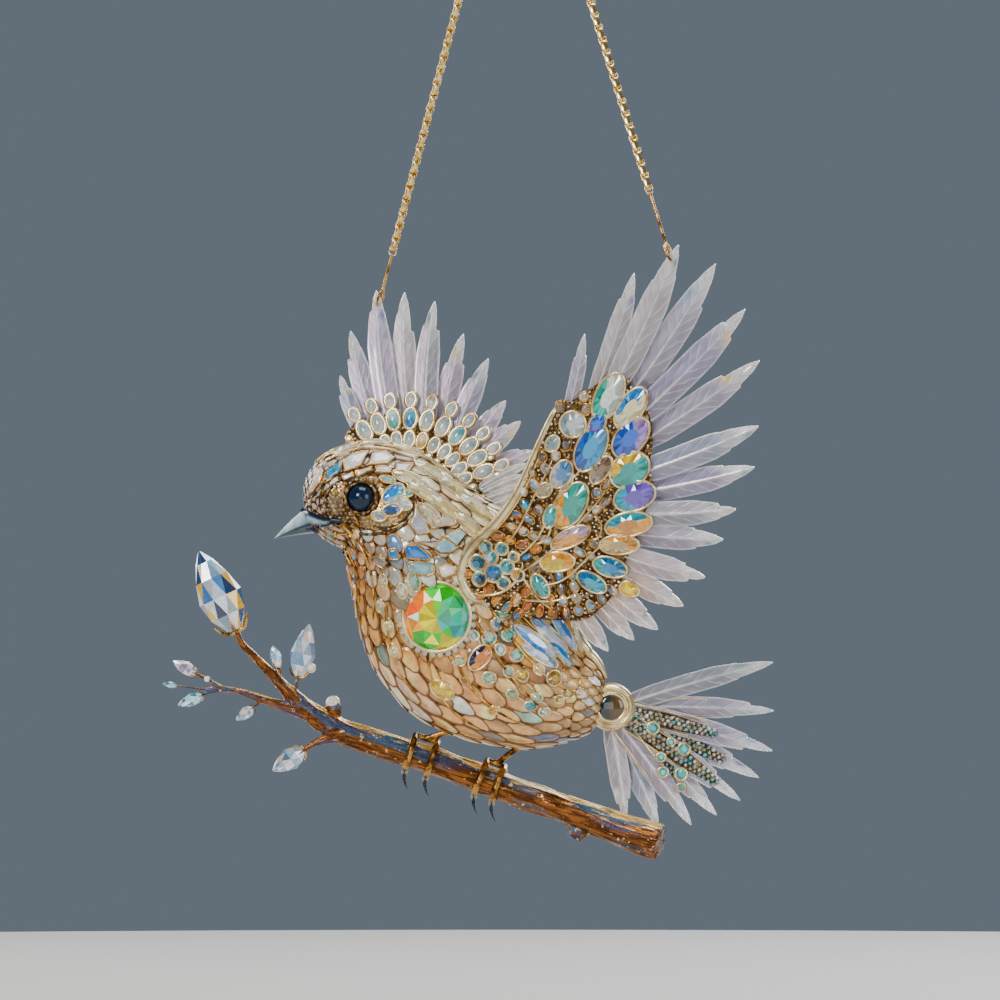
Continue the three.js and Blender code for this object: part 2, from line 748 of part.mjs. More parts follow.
function toeRing(share) {
  const centre = branchPath.getPoint(share);
  const tangent = branchPath.getTangent(share);
  const radius = shareAt(branchRadii, share) + FIT_GAP + TOE_RADIUS;
  const ring = new THREE.TorusGeometry(radius, TOE_RADIUS, 5, 10);
  ring.applyQuaternion(new THREE.Quaternion().setFromUnitVectors(new THREE.Vector3(0, 0, 1), tangent));
  ring.translate(centre.x, centre.y, centre.z);
  const { lift, front } = squareTo(tangent);
  const top = centre.clone().addScaledVector(lift, -Math.sign(lift.z) * -radius);
  const under = centre.clone().addScaledVector(lift, Math.sign(lift.z) * -radius);
  const bow = under.clone().addScaledVector(front, 1.2).add(new THREE.Vector3(-0.6, 0, -0.55 * CLAW_LENGTH));
  const point = under.clone().add(new THREE.Vector3(1.6, 0, -CLAW_LENGTH));
  const claw = bar(new THREE.QuadraticBezierCurve3(under, bow, point), {
    sides: 4,
    steps: 3,
    size: (t) => {
      const half = TOE_RADIUS * (0.72 - 0.62 * t);
      return [half, half];
    },
  });
  return { shape: solid(ring).add(claw), top };
}

function footShape({ share, belly }) {
  const step = TOE_SPACING / 2 / BRANCH_SPAN;
  const [front, rear] = [share - step, share + step].map(toeRing);
  const knuckle = front.top.clone().lerp(rear.top, 0.5);
  const round = (radius) => () => [radius, radius];
  const bridge = bar(straight(front.top, rear.top), { sides: 6, steps: 1, size: round(TOE_RADIUS * 0.9) });
  const leg = bar(straight(knuckle, belly), { sides: 6, steps: 1, size: round(LEG_RADIUS) });
  return without(joined([front.shape, rear.shape, bridge, leg]), [grownBody]);
}
for (const foot of FEET) bird.add(meshOf(foot.name, footShape(foot), GILT));

// The hanging ring, in the plane that faces the viewer, with its highest inner point at the origin
const ringCentre = new THREE.Vector3(0, 0, -RING_INNER_RADIUS);
const ringShape = new THREE.TorusGeometry(RING_INNER_RADIUS + RING_WIRE_RADIUS, RING_WIRE_RADIUS, 6, 20);
ringShape.rotateX(Math.PI / 2);
ringShape.translate(ringCentre.x, ringCentre.y, ringCentre.z);
suncatcher.add(meshOf("hanging_ring", solid(ringShape), GILT));

// Each hook's eye passes through its feather's hole, and its shank runs up to the chain
suncatcher.updateMatrixWorld(true);

function hangFrom(side, group, feather, hookLength) {
  const hole = hookHole(feather).setY(feather.layer * LAYER_OFFSET).applyMatrix4(group.matrixWorld);
  const through = FRONT.clone().transformDirection(group.matrixWorld);
  // The eye stands in the plane that holds the hole's axis and the ring
  const toRing = ringCentre.clone().sub(hole);
  const upFeather = toRing.addScaledVector(through, -toRing.dot(through)).normalize();
  const eyeCentre = hole.clone().addScaledVector(upFeather, HOOK_EYE_RADIUS);
  const eye = new THREE.TorusGeometry(HOOK_EYE_RADIUS, HOOK_WIRE_RADIUS, 5, 14);
  const axis = new THREE.Vector3().crossVectors(upFeather, through);
  eye.applyQuaternion(new THREE.Quaternion().setFromUnitVectors(new THREE.Vector3(0, 0, 1), axis));
  eye.translate(eyeCentre.x, eyeCentre.y, eyeCentre.z);
  const up = ringCentre.clone().sub(eyeCentre).normalize();
  const shankFoot = eyeCentre.clone().addScaledVector(up, HOOK_EYE_RADIUS);
  const shankTop = eyeCentre.clone().addScaledVector(up, hookLength - HOOK_EYE_RADIUS);
  const shank = bar(straight(shankFoot, shankTop), {
    sides: 6,
    steps: 1,
    size: () => [HOOK_WIRE_RADIUS, HOOK_WIRE_RADIUS],
  });
  suncatcher.add(meshOf(`${side}_hook`, solid(eye).add(shank), GILT));

  // The chain fills the way from the shank to the ring with whole links
  const foot = shankTop.clone().addScaledVector(up, FIT_GAP);
  const ringOutside = RING_INNER_RADIUS + 2 * RING_WIRE_RADIUS + FIT_GAP;
  const top = ringCentre.clone().addScaledVector(up, -ringOutside);
  const links = Math.round(foot.distanceTo(top) / CHAIN_PITCH);
  const chain = bar(straight(foot, top), {
    sides: 4,
    steps: 2 * links,
    size: (t) => {
      const bulge = Math.round(t * 2 * links) % 2 ? 0.5 : 0.36;
      return [CHAIN_WIDTH * bulge, CHAIN_WIDTH * bulge];
    },
  });
  suncatcher.add(meshOf(`${side}_chain`, chain, GILT));
}
hangFrom("near", nearWing, nearFeathers[NEAR_HOOK_FEATHER], NEAR_HOOK_LENGTH);
hangFrom("far", farWing, farFeathers[FAR_HOOK_FEATHER], FAR_HOOK_LENGTH);

export default suncatcher;
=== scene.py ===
# %% [markdown]
# # A jewelled bird that hangs in a window
# The solids give the bird's shape in metres. This lesson dresses them: tiles laid on a curved body,
# stones in settings, glass feathers with ribs and barbs, bark, and chains of real links.
# The bird is drawn on a grid of 0.3 mm squares, seen from the front: x to the right and z up
# from the bird's middle.

from functools import partial

import bpy
import numpy as np
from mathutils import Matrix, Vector
from mathutils.bvhtree import BVHTree


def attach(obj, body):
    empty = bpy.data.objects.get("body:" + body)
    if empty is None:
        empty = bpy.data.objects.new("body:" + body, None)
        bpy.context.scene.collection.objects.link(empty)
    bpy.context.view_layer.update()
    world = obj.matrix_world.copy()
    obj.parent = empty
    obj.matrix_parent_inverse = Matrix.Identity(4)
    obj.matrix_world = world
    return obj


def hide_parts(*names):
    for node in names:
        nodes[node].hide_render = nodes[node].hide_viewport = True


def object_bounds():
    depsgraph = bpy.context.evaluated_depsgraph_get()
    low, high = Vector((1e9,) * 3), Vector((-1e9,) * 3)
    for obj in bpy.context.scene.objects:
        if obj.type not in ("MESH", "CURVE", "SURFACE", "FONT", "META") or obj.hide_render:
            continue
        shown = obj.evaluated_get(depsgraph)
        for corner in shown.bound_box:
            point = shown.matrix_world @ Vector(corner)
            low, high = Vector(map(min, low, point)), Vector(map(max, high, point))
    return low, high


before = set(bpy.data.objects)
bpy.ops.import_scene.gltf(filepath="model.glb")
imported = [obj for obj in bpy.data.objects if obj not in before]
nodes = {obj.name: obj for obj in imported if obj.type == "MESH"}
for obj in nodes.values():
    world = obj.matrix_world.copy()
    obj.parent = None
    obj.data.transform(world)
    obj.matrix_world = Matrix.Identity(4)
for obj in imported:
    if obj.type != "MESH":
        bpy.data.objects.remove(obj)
size_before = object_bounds()
rng = np.random.default_rng(11)

GRID = 0.0003
MIDDLE = np.array([-0.0057, 0.0, -0.2535])
MM = 0.001
FRONT = np.array([0.0, -1.0, 0.0])
print(len(nodes), "solids in the frame")

# %% [markdown]
# ## Shapes as arrays
# A shape is a pair: an array of points, and a list of blocks of faces. All faces of one block have
# the same number of corners, so every step works on whole arrays.


# %% Shapes and how they join
def place(x, z, y=0.0):
    """Point = middle + grid * (x, 0, z), with the depth y already in metres."""
    x, z, y = np.broadcast_arrays(np.asarray(x, float), z, y)
    return np.stack([x * GRID, y, z * GRID], axis=-1) + MIDDLE


def unit(v):
    """v / |v|"""
    return v / np.maximum(np.linalg.norm(v, axis=-1, keepdims=True), 1e-12)


def circle(count):
    """Equal angles once round: 2 pi * k / count."""
    return np.arange(count) * 2 * np.pi / count


def lattice(rows, columns, wrap=False):
    """Four corners of each cell of a grid of points that is numbered row by row."""
    r, c = np.meshgrid(np.arange(rows - 1), np.arange(columns if wrap else columns - 1), indexing="ij")
    right = (c + 1) % columns
    low, high = r * columns, (r + 1) * columns
    return np.stack([low + c, low + right, high + right, high + c], -1).reshape(-1, 4)


def join(shapes):
    """One shape from several: later points are numbered after earlier ones."""
    starts = np.cumsum([0] + [len(points) for points, _ in shapes])
    blocks = [block + start for (_, blocks), start in zip(shapes, starts) for block in blocks]
    return np.concatenate([points for points, _ in shapes]), blocks


def scatter(shape, origins, axes):
    """Copies of a small shape: point = origin + x * axis0 + y * axis1 + z * axis2."""
    points, blocks = shape
    spread = origins[:, None, :] + np.einsum("pj,kjc->kpc", points, axes)
    steps = np.arange(len(origins)) * len(points)
    copies = [(block[None] + steps[:, None, None]).reshape(-1, block.shape[1]) for block in blocks]
    return spread.reshape(-1, 3), copies


def hex_colour(code):
    """Linear light from a hex code: c = ((s + 0.055) / 1.055) ** 2.4 for s above 0.04."""
    s = np.array([int(code[i : i + 2], 16) for i in (1, 3, 5)]) / 255
    return np.where(s > 0.04045, ((s + 0.055) / 1.055) ** 2.4, s / 12.92)


def colours(*codes):
    """One row of linear light for each hex code."""
    return np.array([hex_colour(code) for code in codes])


def vivid(shade, amount):
    """grey + amount * (colour - grey), where grey is the mean of red, green and blue."""
    grey = shade.mean(-1, keepdims=True)
    return np.clip(grey + amount * (shade - grey), 0, 1)


def new_object(name, data):
    """An object with this data, linked to the scene."""
    made = bpy.data.objects.new(name, data)
    bpy.context.scene.collection.objects.link(made)
    return made


def add_piece(name, shape, material, tint=None, smooth=True, hides=(), uv=None, metal=None):
    """Writes a shape as a mesh object that rides with the part. A tint has one row per point or per face corner."""
    points, blocks = shape
    points = np.clip(points, *size_before)
    volume = 0.0
    for block in blocks:
        for k in range(1, block.shape[1] - 1):
            a, b, c = (points[block[:, i]] - points[0] for i in (0, k, k + 1))
            volume += np.einsum("ij,ij->", a, np.cross(b, c)) / 6
    if volume < 0:
        blocks = [block[:, ::-1] for block in blocks]
    corners = np.concatenate([block.ravel() for block in blocks]).astype(np.int32)
    sizes = np.concatenate([np.full(len(block), block.shape[1]) for block in blocks])
    mesh = bpy.data.meshes.new(name)
    mesh.vertices.add(len(points))
    mesh.vertices.foreach_set("co", points.astype(np.float32).ravel())
    mesh.loops.add(len(corners))
    mesh.loops.foreach_set("vertex_index", corners)
    mesh.polygons.add(len(sizes))
    mesh.polygons.foreach_set("loop_start", np.concatenate([[0], np.cumsum(sizes)[:-1]]).astype(np.int32))
    mesh.polygons.foreach_set("use_smooth", np.full(len(sizes), smooth))
    mesh.update(calc_edges=True)
    if tint is not None:
        domain = "POINT" if len(tint) == len(points) else "CORNER"
        layer = mesh.color_attributes.new("tint", "FLOAT_COLOR", domain)
        layer.data.foreach_set("color", np.column_stack([tint, np.ones(len(tint))]).astype(np.float32).ravel())
    if metal is not None:
        layer = mesh.attributes.new("metal", "FLOAT", "POINT")
        layer.data.foreach_set("value", metal.astype(np.float32))
    if uv is not None:
        mesh.uv_layers.new(name="UVMap").data.foreach_set("uv", uv[corners].astype(np.float32).ravel())
    mesh.materials.append(material)
    piece = new_object(name, mesh)
    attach(piece, "root")
    if hides:
        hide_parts(*hides)
    return piece


def per_face(shape, values):
    """Repeats one value of each face for each of its corners."""
    counts = np.concatenate([np.full(len(block), block.shape[1]) for block in shape[1]])
    return np.repeat(values, counts, axis=0)


print("a grid of 4 by 5 points has", len(lattice(4, 5)), "cells")

# %% [markdown]
# ## Curves and wires
# A smooth line runs through a few drawn points. A wire is a tube around such a line.


# %% Curves and wires
def smooth_line(points, count, closed=False):
    """Cubic through the points: p(f) = p1 + f(p2 - p0)/2 + f^2(...) + f^3(...), f from 0 to 1."""
    points = np.asarray(points, float)
    total = len(points)
    place_on = np.linspace(0, total if closed else total - 1, count, endpoint=not closed)
    low = np.minimum(place_on.astype(int), total - 1 if closed else total - 2)
    f = (place_on - low)[:, None]
    index = low[:, None] + np.arange(-1, 3)
    index = index % total if closed else np.clip(index, 0, total - 1)
    a, b, c, d = np.moveaxis(points[index], 1, 0)
    return b + 0.5 * f * (c - a + f * (2 * a - 5 * b + 4 * c - d + f * (3 * (b - c) + d - a)))


def tube(line, radius, sides=6, closed=False, facing=FRONT):
    """Rings of points at line + radius * (cos a * side + sin a * up)."""
    line = np.asarray(line, float)
    if closed:
        run = unit(np.roll(line, -1, 0) - np.roll(line, 1, 0))
    else:
        run = unit(np.gradient(line, axis=0))
    facing = np.broadcast_to(facing, line.shape)
    side = unit(np.cross(run, facing))
    up = np.cross(side, run)
    angle = circle(sides)
    radius = np.broadcast_to(radius, len(line))[:, None, None]
    ring = np.cos(angle)[:, None] * side[:, None] + np.sin(angle)[:, None] * up[:, None]
    points = (line[:, None] + radius * ring).reshape(-1, 3)
    count = len(line)
    if closed:
        cells = lattice(count + 1, sides, wrap=True) % (count * sides)
        return points, [cells]
    ends = np.array([np.arange(sides)[::-1], np.arange(sides) + (count - 1) * sides])
    return points, [lattice(count, sides, wrap=True), ends]


def dome_shape(segments=12, rings=4, skirt=0.5):
    """A rounded stone of radius 1 and height 1: r = cos b, z = sin b, with a skirt sunk below z = 0."""
    angle = circle(segments)
    rise = np.linspace(0, np.pi / 2 * 0.9, rings)
    radii = np.concatenate([[0.94], np.cos(rise)])
    heights = np.concatenate([[-skirt], np.sin(rise)])
    points = np.stack(
        [radii[:, None] * np.cos(angle), radii[:, None] * np.sin(angle), np.repeat(heights[:, None], segments, 1)], -1
    ).reshape(-1, 3)
    top = (np.arange(segments) + rings * segments)[None]
    bottom = np.arange(segments)[::-1][None]
    return points, [lattice(rings + 1, segments, wrap=True), top, bottom]


def cut_shape(segments=8, table=0.5):
    """A cut stone of radius 1 and height 1: girdle, a zigzag row of kites, and a flat table."""
    angle = circle(segments)
    half = angle + np.pi / segments
    rows = [(0.9, -0.5, angle), (1.0, 0.0, angle), (0.82, 0.55, half), (table, 1.0, angle)]
    points = np.concatenate([np.stack([r * np.cos(a), r * np.sin(a), np.full(segments, z)], -1) for r, z, a in rows])
    i = np.arange(segments)
    j = (i + 1) % segments
    n = segments
    walls = lattice(2, segments, wrap=True)
    lower = np.stack([n + i, n + j, 2 * n + i], -1)
    kites = np.stack([n + j, 2 * n + j, 3 * n + j, 2 * n + i], -1)
    upper = np.stack([2 * n + i, 3 * n + j, 3 * n + i], -1)
    return points, [walls, lower, kites, upper, (3 * n + i)[None], i[::-1][None]]


print("a dome has", len(dome_shape()[0]), "points and a cut stone", len(cut_shape()[0]))

# %% [markdown]
# ## Materials
# Shader arithmetic is written as arithmetic: a Sum adds a node for each operation.


# %% Shader arithmetic
class Sum:
    """A value in a node tree. Adding, multiplying and so on add Math nodes."""

    def __init__(self, tree, socket):
        self.tree = tree
        self.socket = socket

    def node(self, kind, settings=None, output=0, **inputs):
        """Adds a node, sets its settings and joins its inputs, and returns one output."""
        made = self.tree.nodes.new(kind)
        for key, value in (settings or {}).items():
            setattr(made, key, value)
        for key, value in inputs.items():
            target = made.inputs[int(key[1:]) if key[1:].isdigit() else key.replace("_", " ")]
            if isinstance(value, Sum):
                self.tree.links.new(value.socket, target)
            else:
                target.default_value = value
        return Sum(self.tree, made.outputs[output])

    def math(self, operation, a, b=0.0):
        return self.node("ShaderNodeMath", {"operation": operation}, i0=a, i1=b)

    def __add__(self, other):
        return self.math("ADD", self, other)

    def __radd__(self, other):
        return self.math("ADD", other, self)

    def __sub__(self, other):
        return self.math("SUBTRACT", self, other)

    def __rsub__(self, other):
        return self.math("SUBTRACT", other, self)

    def __mul__(self, other):
        return self.math("MULTIPLY", self, other)

    def __rmul__(self, other):
        return self.math("MULTIPLY", other, self)

    def wave(self):
        return self.math("SINE", self)

    def size(self):
        return self.math("ABSOLUTE", self)

    def between(self, low, high):
        """0 below low, 1 above high."""
        return self.node("ShaderNodeMapRange", i0=self, i1=low, i2=high)

    def blend(self, a, b):
        """A colour that goes from a to b as this value goes from 0 to 1. Each is a Sum or a hex code."""
        a, b = (end if isinstance(end, Sum) else (*hex_colour(end), 1) for end in (a, b))
        return self.node("ShaderNodeMix", {"data_type": "RGBA", "clamp_factor": True}, output=2, i0=self, i6=a, i7=b)


def make_material(name, recipe, **constants):
    """The recipe gives the linked inputs of one Principled shader. The constants are set on its sockets."""
    material = bpy.data.materials.new(name)
    material.use_nodes = True
    tree = material.node_tree
    shader = tree.nodes["Principled BSDF"]
    start = Sum(tree, None)
    for key, value in constants.items():
        shader.inputs[key.replace("_", " ")].default_value = value
    for key, value in recipe(start).items():
        socket = shader.inputs[key.replace("_", " ")]
        if isinstance(value, Sum):
            tree.links.new(value.socket, socket)
        else:
            socket.default_value = (*value, 1) if np.ndim(value) else value
    return material


def coords(start):
    return start.node("ShaderNodeTexCoord", output=3)


def noise(start, scale, detail=3.0, roughness=0.5, where=None):
    """Clouds from 0 to 1, on the object's own coordinates unless others are given."""
    where = coords(start) if where is None else where
    return start.node("ShaderNodeTexNoise", Vector=where, Scale=scale, Detail=detail, Roughness=roughness)


def stored(start, name, output=0):
    """What a mesh stores at its points: output 0 reads a colour, 1 a vector and 2 a number."""
    return start.node("ShaderNodeAttribute", {"attribute_name": name}, output=output)


def tint(start):
    return stored(start, "tint")


def bump(start, height, distance, strength=1.0):
    return start.node("ShaderNodeBump", Height=height, Distance=distance, Strength=strength)


print("a Sum can also", [name for name in vars(Sum) if name[0] != "_"])


# %% [markdown]
# Each finish has a recipe: gilt, enamel, cut glass, frosted feathers, patinated bronze. Pictures of
# them would blur this close, so noise breaks them up and tints give the colour.


# %% Recipes
def gilt_recipe(start):
    """Gold that darkens to brown where a coarse noise is low."""
    stain = noise(start, 260, 4).between(0.38, 0.6)
    return {
        "Base_Color": stain.blend("#5a3413", "#e2ac58"),
        "Roughness": 0.4 - 0.2 * stain,
        "Normal": bump(start, noise(start, 1500, 2), 0.00012, 0.5),
    }


def pale_gilt_recipe(start):
    """Cream gold that is browner where a coarse noise is low."""
    stain = noise(start, 220, 4).between(0.3, 0.6)
    return {
        "Base_Color": stain.blend("#a67f42", "#f6e2ae"),
        "Roughness": 0.36 - 0.16 * stain,
    }


def chain_recipe(start):
    """Polished cream gold, a little darker in places."""
    stain = noise(start, 900, 2).between(0.35, 0.6)
    return {"Base_Color": stain.blend("#c9973f", "#f7dfa0"), "Roughness": 0.26 - 0.1 * stain}


def antique_recipe(start):
    """Dark bronze ground, with a little gold on its high spots."""
    high = noise(start, 700, 4).between(0.5, 0.68)
    return {
        "Base_Color": high.blend("#4a3520", "#c9a468"),
        "Roughness": 0.5 - 0.2 * high,
        "Normal": bump(start, high, 0.0003, 0.7),
    }


def darker(start, amount):
    """The tint times a grey or brown amount."""
    settings = {"data_type": "RGBA", "blend_type": "MULTIPLY"}
    return start.node("ShaderNodeMix", settings, output=2, i0=1.0, i6=tint(start), i7=(*amount, 1))


def tile_recipe(start):
    """Enamel of the tint's colour with cloudy light and dark inside it. Metal grows from 0 to 1 on the gilt rim."""
    cloud = noise(start, 420, 3).between(0.3, 0.7)
    rim = stored(start, "metal", 2).between(0.2, 0.8)
    return {
        "Base_Color": cloud.blend(darker(start, (0.68, 0.6, 0.54)), tint(start)),
        "Metallic": 0.1 + 0.9 * rim,
        "Roughness": 0.14 + 0.16 * rim,
        "Normal": bump(start, noise(start, 900, 2), 0.0001, 0.4),
    }


def stone_recipe(start):
    """The tint, with a darker veil where a coarse noise is low. The tint is also the colour of a faint painted glow,
    where the material gives it a strength.
    """
    veil = noise(start, 500, 2).between(0.35, 0.65)
    return {"Base_Color": veil.blend(darker(start, (0.6, 0.62, 0.66)), tint(start)), "Emission_Color": tint(start)}


def cut_recipe(start):
    """The tint, with a fainter veil in each facet. The tint is also the colour of a faint painted glow."""
    veil = noise(start, 900, 1).between(0.3, 0.7)
    return {"Base_Color": veil.blend(darker(start, (0.72, 0.74, 0.78)), tint(start)), "Emission_Color": tint(start)}


def feather_recipe(start):
    """Barbs are waves that slope back from the rib: sin(k * (along - slope * |across|)), broken up by noise."""
    uv = start.node("ShaderNodeUVMap", {"uv_map": "UVMap"})
    apart = start.node("ShaderNodeSeparateXYZ", Vector=uv).socket.node
    along, across = Sum(start.tree, apart.outputs[0]), Sum(start.tree, apart.outputs[1])
    slant = along - 1.9 * across.size()
    drift = noise(start, 120, 2) * 9.0
    fine = (slant * 5.5 + drift).wave()
    broad = (slant * 1.35 + drift).wave().between(0.72, 0.98)
    dark = (slant * 1.35 + drift + 1.9).wave().between(0.86, 1.0)
    frost = noise(start, 160, 3).between(0.3, 0.75)
    lit = (0.34 * broad * noise(start, 260, 1).between(0.35, 0.6)).blend(tint(start), "#fbfaf6")
    return {
        "Base_Color": (0.4 * dark).blend(lit, "#6f7696"),
        "Roughness": 0.05 + 0.13 * frost,
        "Normal": bump(start, fine * 0.3 + broad * 0.6 + noise(start, 420, 2), 0.0002, 0.28),
        # lit is also given as a faint painted glow
        "Emission_Color": lit,
    }


def bark_recipe(start):
    """Patterns follow the grain: a painted gold highlight on the upper edge, blue and violet patina below it, orange
    bronze underneath.
    """
    grain = stored(start, "grain", 1)
    fibre = noise(start, 1.3, 5.0, 0.62, grain)
    patch, other = noise(start, 0.36, 3.0, 0.5, grain), noise(start, 0.55, 2.0, 0.5, grain)
    top = stored(start, "topside", 2)
    level = top * 0.55 + (patch - 0.5) * 2.6
    bronze = fibre.between(0.36, 0.66).blend("#38200f", "#a8652a")
    blue = (0.85 * level.between(0.1, 0.35)).blend(bronze, "#1a5a78")
    violet = (0.85 * (other.between(0.48, 0.6) * level.between(0.0, 0.3))).blend(blue, "#4f3a5c")
    # Painted highlight: gold where the bark faces up.
    painted_top_highlight = (top + (fibre - 0.5) * 1.6).between(0.7, 0.86).blend(violet, "#e3b759")
    crack = (fibre - 0.47).size().between(0.004, 0.022)
    cracked = crack.blend("#1c0f08", painted_top_highlight)
    fleck = noise(start, 620, 3).between(0.64, 0.7)
    return {
        "Base_Color": fleck.blend(cracked, "#f3c878"),
        "Metallic": 0.85 - 0.35 * level.between(0.1, 0.3),
        "Roughness": 0.42 - 0.18 * fibre.between(0.4, 0.6),
        "Normal": bump(start, fibre + noise(start, 1300, 2) * 0.2, 0.0004, 0.6),
    }


def dark_recipe(start):
    """Nearly black glass with blue clouds."""
    return {"Base_Color": noise(start, 300, 2).blend("#02070f", "#0c2a4c")}


def foot_recipe(start):
    """Gold wire whose claws, marked by the stored claw value, are black."""
    stain = noise(start, 300, 3).between(0.38, 0.62)
    gold = stain.blend("#4f2f14", "#c9944a")
    claw = stored(start, "claw", 2)
    return {
        "Base_Color": claw.blend(gold, "#0b0a0a"),
        "Metallic": 1.0 - 0.9 * claw,
        "Roughness": 0.36 - 0.16 * stain - 0.08 * claw,
        "Normal": bump(start, noise(start, 1200, 2), 0.00012, 0.5),
    }


def floor_recipe(start):
    """Plain pale grey, almost even."""
    return {"Base_Color": noise(start, 3, 1).blend("#c9c7c2", "#d3d1cc"), "Roughness": 0.6}


GILT = make_material("gilt", gilt_recipe, Metallic=1.0)
PALE_GILT = make_material("pale_gilt", pale_gilt_recipe, Metallic=0.8, Coat_Weight=0.3)
CHAIN = make_material("chain_gold", chain_recipe, Metallic=1.0)
ANTIQUE = make_material("antique_bronze", antique_recipe, Metallic=0.9)
TILE = make_material("tile", tile_recipe, Coat_Weight=0.8, Coat_Roughness=0.04)
POLISHED = {"Coat_Weight": 1.0, "Coat_Roughness": 0.02}
# STONE, CUT, GEM_GLASS, FEATHER and PEARL glow faintly in their tints: a painted glow, strongest on the gems.
STONE = make_material("stone", stone_recipe, Roughness=0.05, Emission_Strength=0.1, **POLISHED)
cut_look = {"Roughness": 0.03, "Metallic": 0.15, "Transmission_Weight": 0.2, "IOR": 1.7}
CUT = make_material("cut_glass", cut_recipe, **cut_look, Coat_Weight=1.0, Coat_Roughness=0.01, Emission_Strength=0.16)
gem_look = {"Roughness": 0.05, "Coat_Weight": 0.5, "Coat_Roughness": 0.02}
GEM_GLASS = make_material("gem_glass", cut_recipe, **gem_look, Emission_Strength=0.4)
feather_look = {"Transmission_Weight": 0.35, "IOR": 1.5, "Thin_Film_Thickness": 330.0, "Thin_Film_IOR": 1.6}
feather_look |= {"Coat_IOR": 1.7, "Emission_Strength": 0.05}
FEATHER = make_material("feather_glass", feather_recipe, **feather_look, **POLISHED)
BARK = make_material("bark_metal", bark_recipe)
pearl_look = {"Roughness": 0.2, "Coat_Weight": 1.0, "Coat_Roughness": 0.05}
PEARL = make_material("pearl", stone_recipe, **pearl_look, Emission_Strength=0.05)
BEADS = make_material("bead_metal", stone_recipe, Metallic=0.85, Roughness=0.25)
DARK = make_material("dark_glass", dark_recipe, Roughness=0.02, Coat_Weight=0.25, Specular_IOR_Level=0.3)
FOOT = make_material("foot_wire", foot_recipe)
FLOOR = make_material("floor", floor_recipe)
print(len(bpy.data.materials), "materials")

# %% [markdown]
# ## The body as a map
# Rays go out from a line through the middle of the body to its solid. Their lengths, smoothed,
# give a table of points over (t, turn): t runs from the brow to the rump, and turn goes once round,
# from the front over the back. Everything on the body is placed through this map.

# %% Measure the body
SPINE = smooth_line(
    place(
        np.array([-162, -146, -128, -95, -57, -12, 40, 76]),
        np.array([100, 101, 97, 70, 18, -44, -88, -98]),
    ),
    97,
)
SPINE_RUN = unit(np.gradient(SPINE, axis=0))
LIFT = unit(np.cross(FRONT, SPINE_RUN))
TURNS = np.arange(120) / 120
SPOKES = np.cos(2 * np.pi * TURNS)[None, :, None] * FRONT + np.sin(2 * np.pi * TURNS)[None, :, None] * LIFT[:, None]


def end_fan(row, sign, count):
    """Rays from one end of the line: cos(a) * run + sin(a) * spoke, a from nearly 0 to 90 degrees."""
    a = np.linspace(0.04, np.pi / 2, count, endpoint=False)[:, None, None]
    return np.cos(a) * sign * SPINE_RUN[row] + np.sin(a) * SPOKES[row][None]


BROW_FAN, RUMP_FAN = end_fan(0, -1, 18), end_fan(-1, 1, 12)[::-1]
RAYS = np.concatenate([BROW_FAN, SPOKES, RUMP_FAN])
STARTS = np.concatenate([np.repeat(SPINE[:1], 18, 0), SPINE, np.repeat(SPINE[-1:], 12, 0)])


def solid_tree(name):
    """A search tree of one solid's triangles."""
    mesh = nodes[name].data
    points = [nodes[name].matrix_world @ v.co for v in mesh.vertices]
    return BVHTree.FromPolygons(points, [tuple(p.vertices) for p in mesh.polygons])


def solid_points(name):
    """The corners of one solid as an array."""
    mesh = nodes[name].data
    flat = np.empty(len(mesh.vertices) * 3)
    mesh.vertices.foreach_get("co", flat)
    points = flat.reshape(-1, 3)
    turn = np.array(nodes[name].matrix_world)
    return points @ turn[:3, :3].T + turn[:3, 3]


def blurred(table, passes):
    """Each pass replaces a value by (before + 2 * itself + after) / 4 along both ways."""
    for _ in range(passes):
        table = (np.roll(table, 1, 1) + 2 * table + np.roll(table, -1, 1)) / 4
        edged = np.concatenate([table[:1], table, table[-1:]])
        table = (edged[:-2] + 2 * table + edged[2:]) / 4
    return table


body_tree = solid_tree("body")
hits = [
    [body_tree.ray_cast(Vector(start), Vector(way), 0.1)[3] or 0.001 for way in ways]
    for start, ways in zip(STARTS, RAYS)
]
REACH = np.array(hits)
for _ in range(3):
    REACH = np.maximum(REACH, blurred(REACH, 6))
REACH = blurred(REACH, 4)
SKIN = STARTS[:, None] + REACH[..., None] * RAYS
along_skin = np.gradient(SKIN, axis=0)
around_skin = np.roll(SKIN, -1, 1) - np.roll(SKIN, 1, 1)
SKIN_NORMAL = unit(np.cross(around_skin, along_skin))
if (SKIN_NORMAL * RAYS).sum() < 0:
    SKIN_NORMAL = -SKIN_NORMAL
print("body reaches", REACH.max().round(4), "m from its middle line")


# %% [markdown]
# Each tile, wire and stone needs a point and a normal. Rays would show the solid's flats, so both
# are read from the smoothed table with cubics.


# %% Read the map
def cubic_weights(f):
    """Weights of the four values around f: the cubic through evenly spaced points."""
    before, here = -0.5 * f + f**2 - 0.5 * f**3, 1 - 2.5 * f**2 + 1.5 * f**3
    after, beyond = 0.5 * f + 2 * f**2 - 1.5 * f**3, 0.5 * (f**3 - f**2)
    return np.stack([before, here, after, beyond], -1)


def sample(table, t, turn):
    """The table's value at t from 0 to 1 and at any turn, by cubics both ways."""
    rows, columns = table.shape[:2]
    r = np.clip(t, 0, 1) * (rows - 1)
    c = (turn % 1) * columns
    row = np.minimum(r.astype(int), rows - 2)
    column = c.astype(int)
    near_rows = np.clip(row[..., None] + np.arange(-1, 3), 0, rows - 1)
    near_columns = (column[..., None] + np.arange(-1, 3)) % columns
    block = table[near_rows[..., :, None], near_columns[..., None, :]]
    return np.einsum("...i,...j,...ijk->...k", cubic_weights(r - row), cubic_weights(c - column), block)


def on_body(t, turn, height=0.0):
    """Point = skin(t, turn) + height * normal."""
    return sample(SKIN, t, turn) + np.asarray(height)[..., None] * unit(sample(SKIN_NORMAL, t, turn))


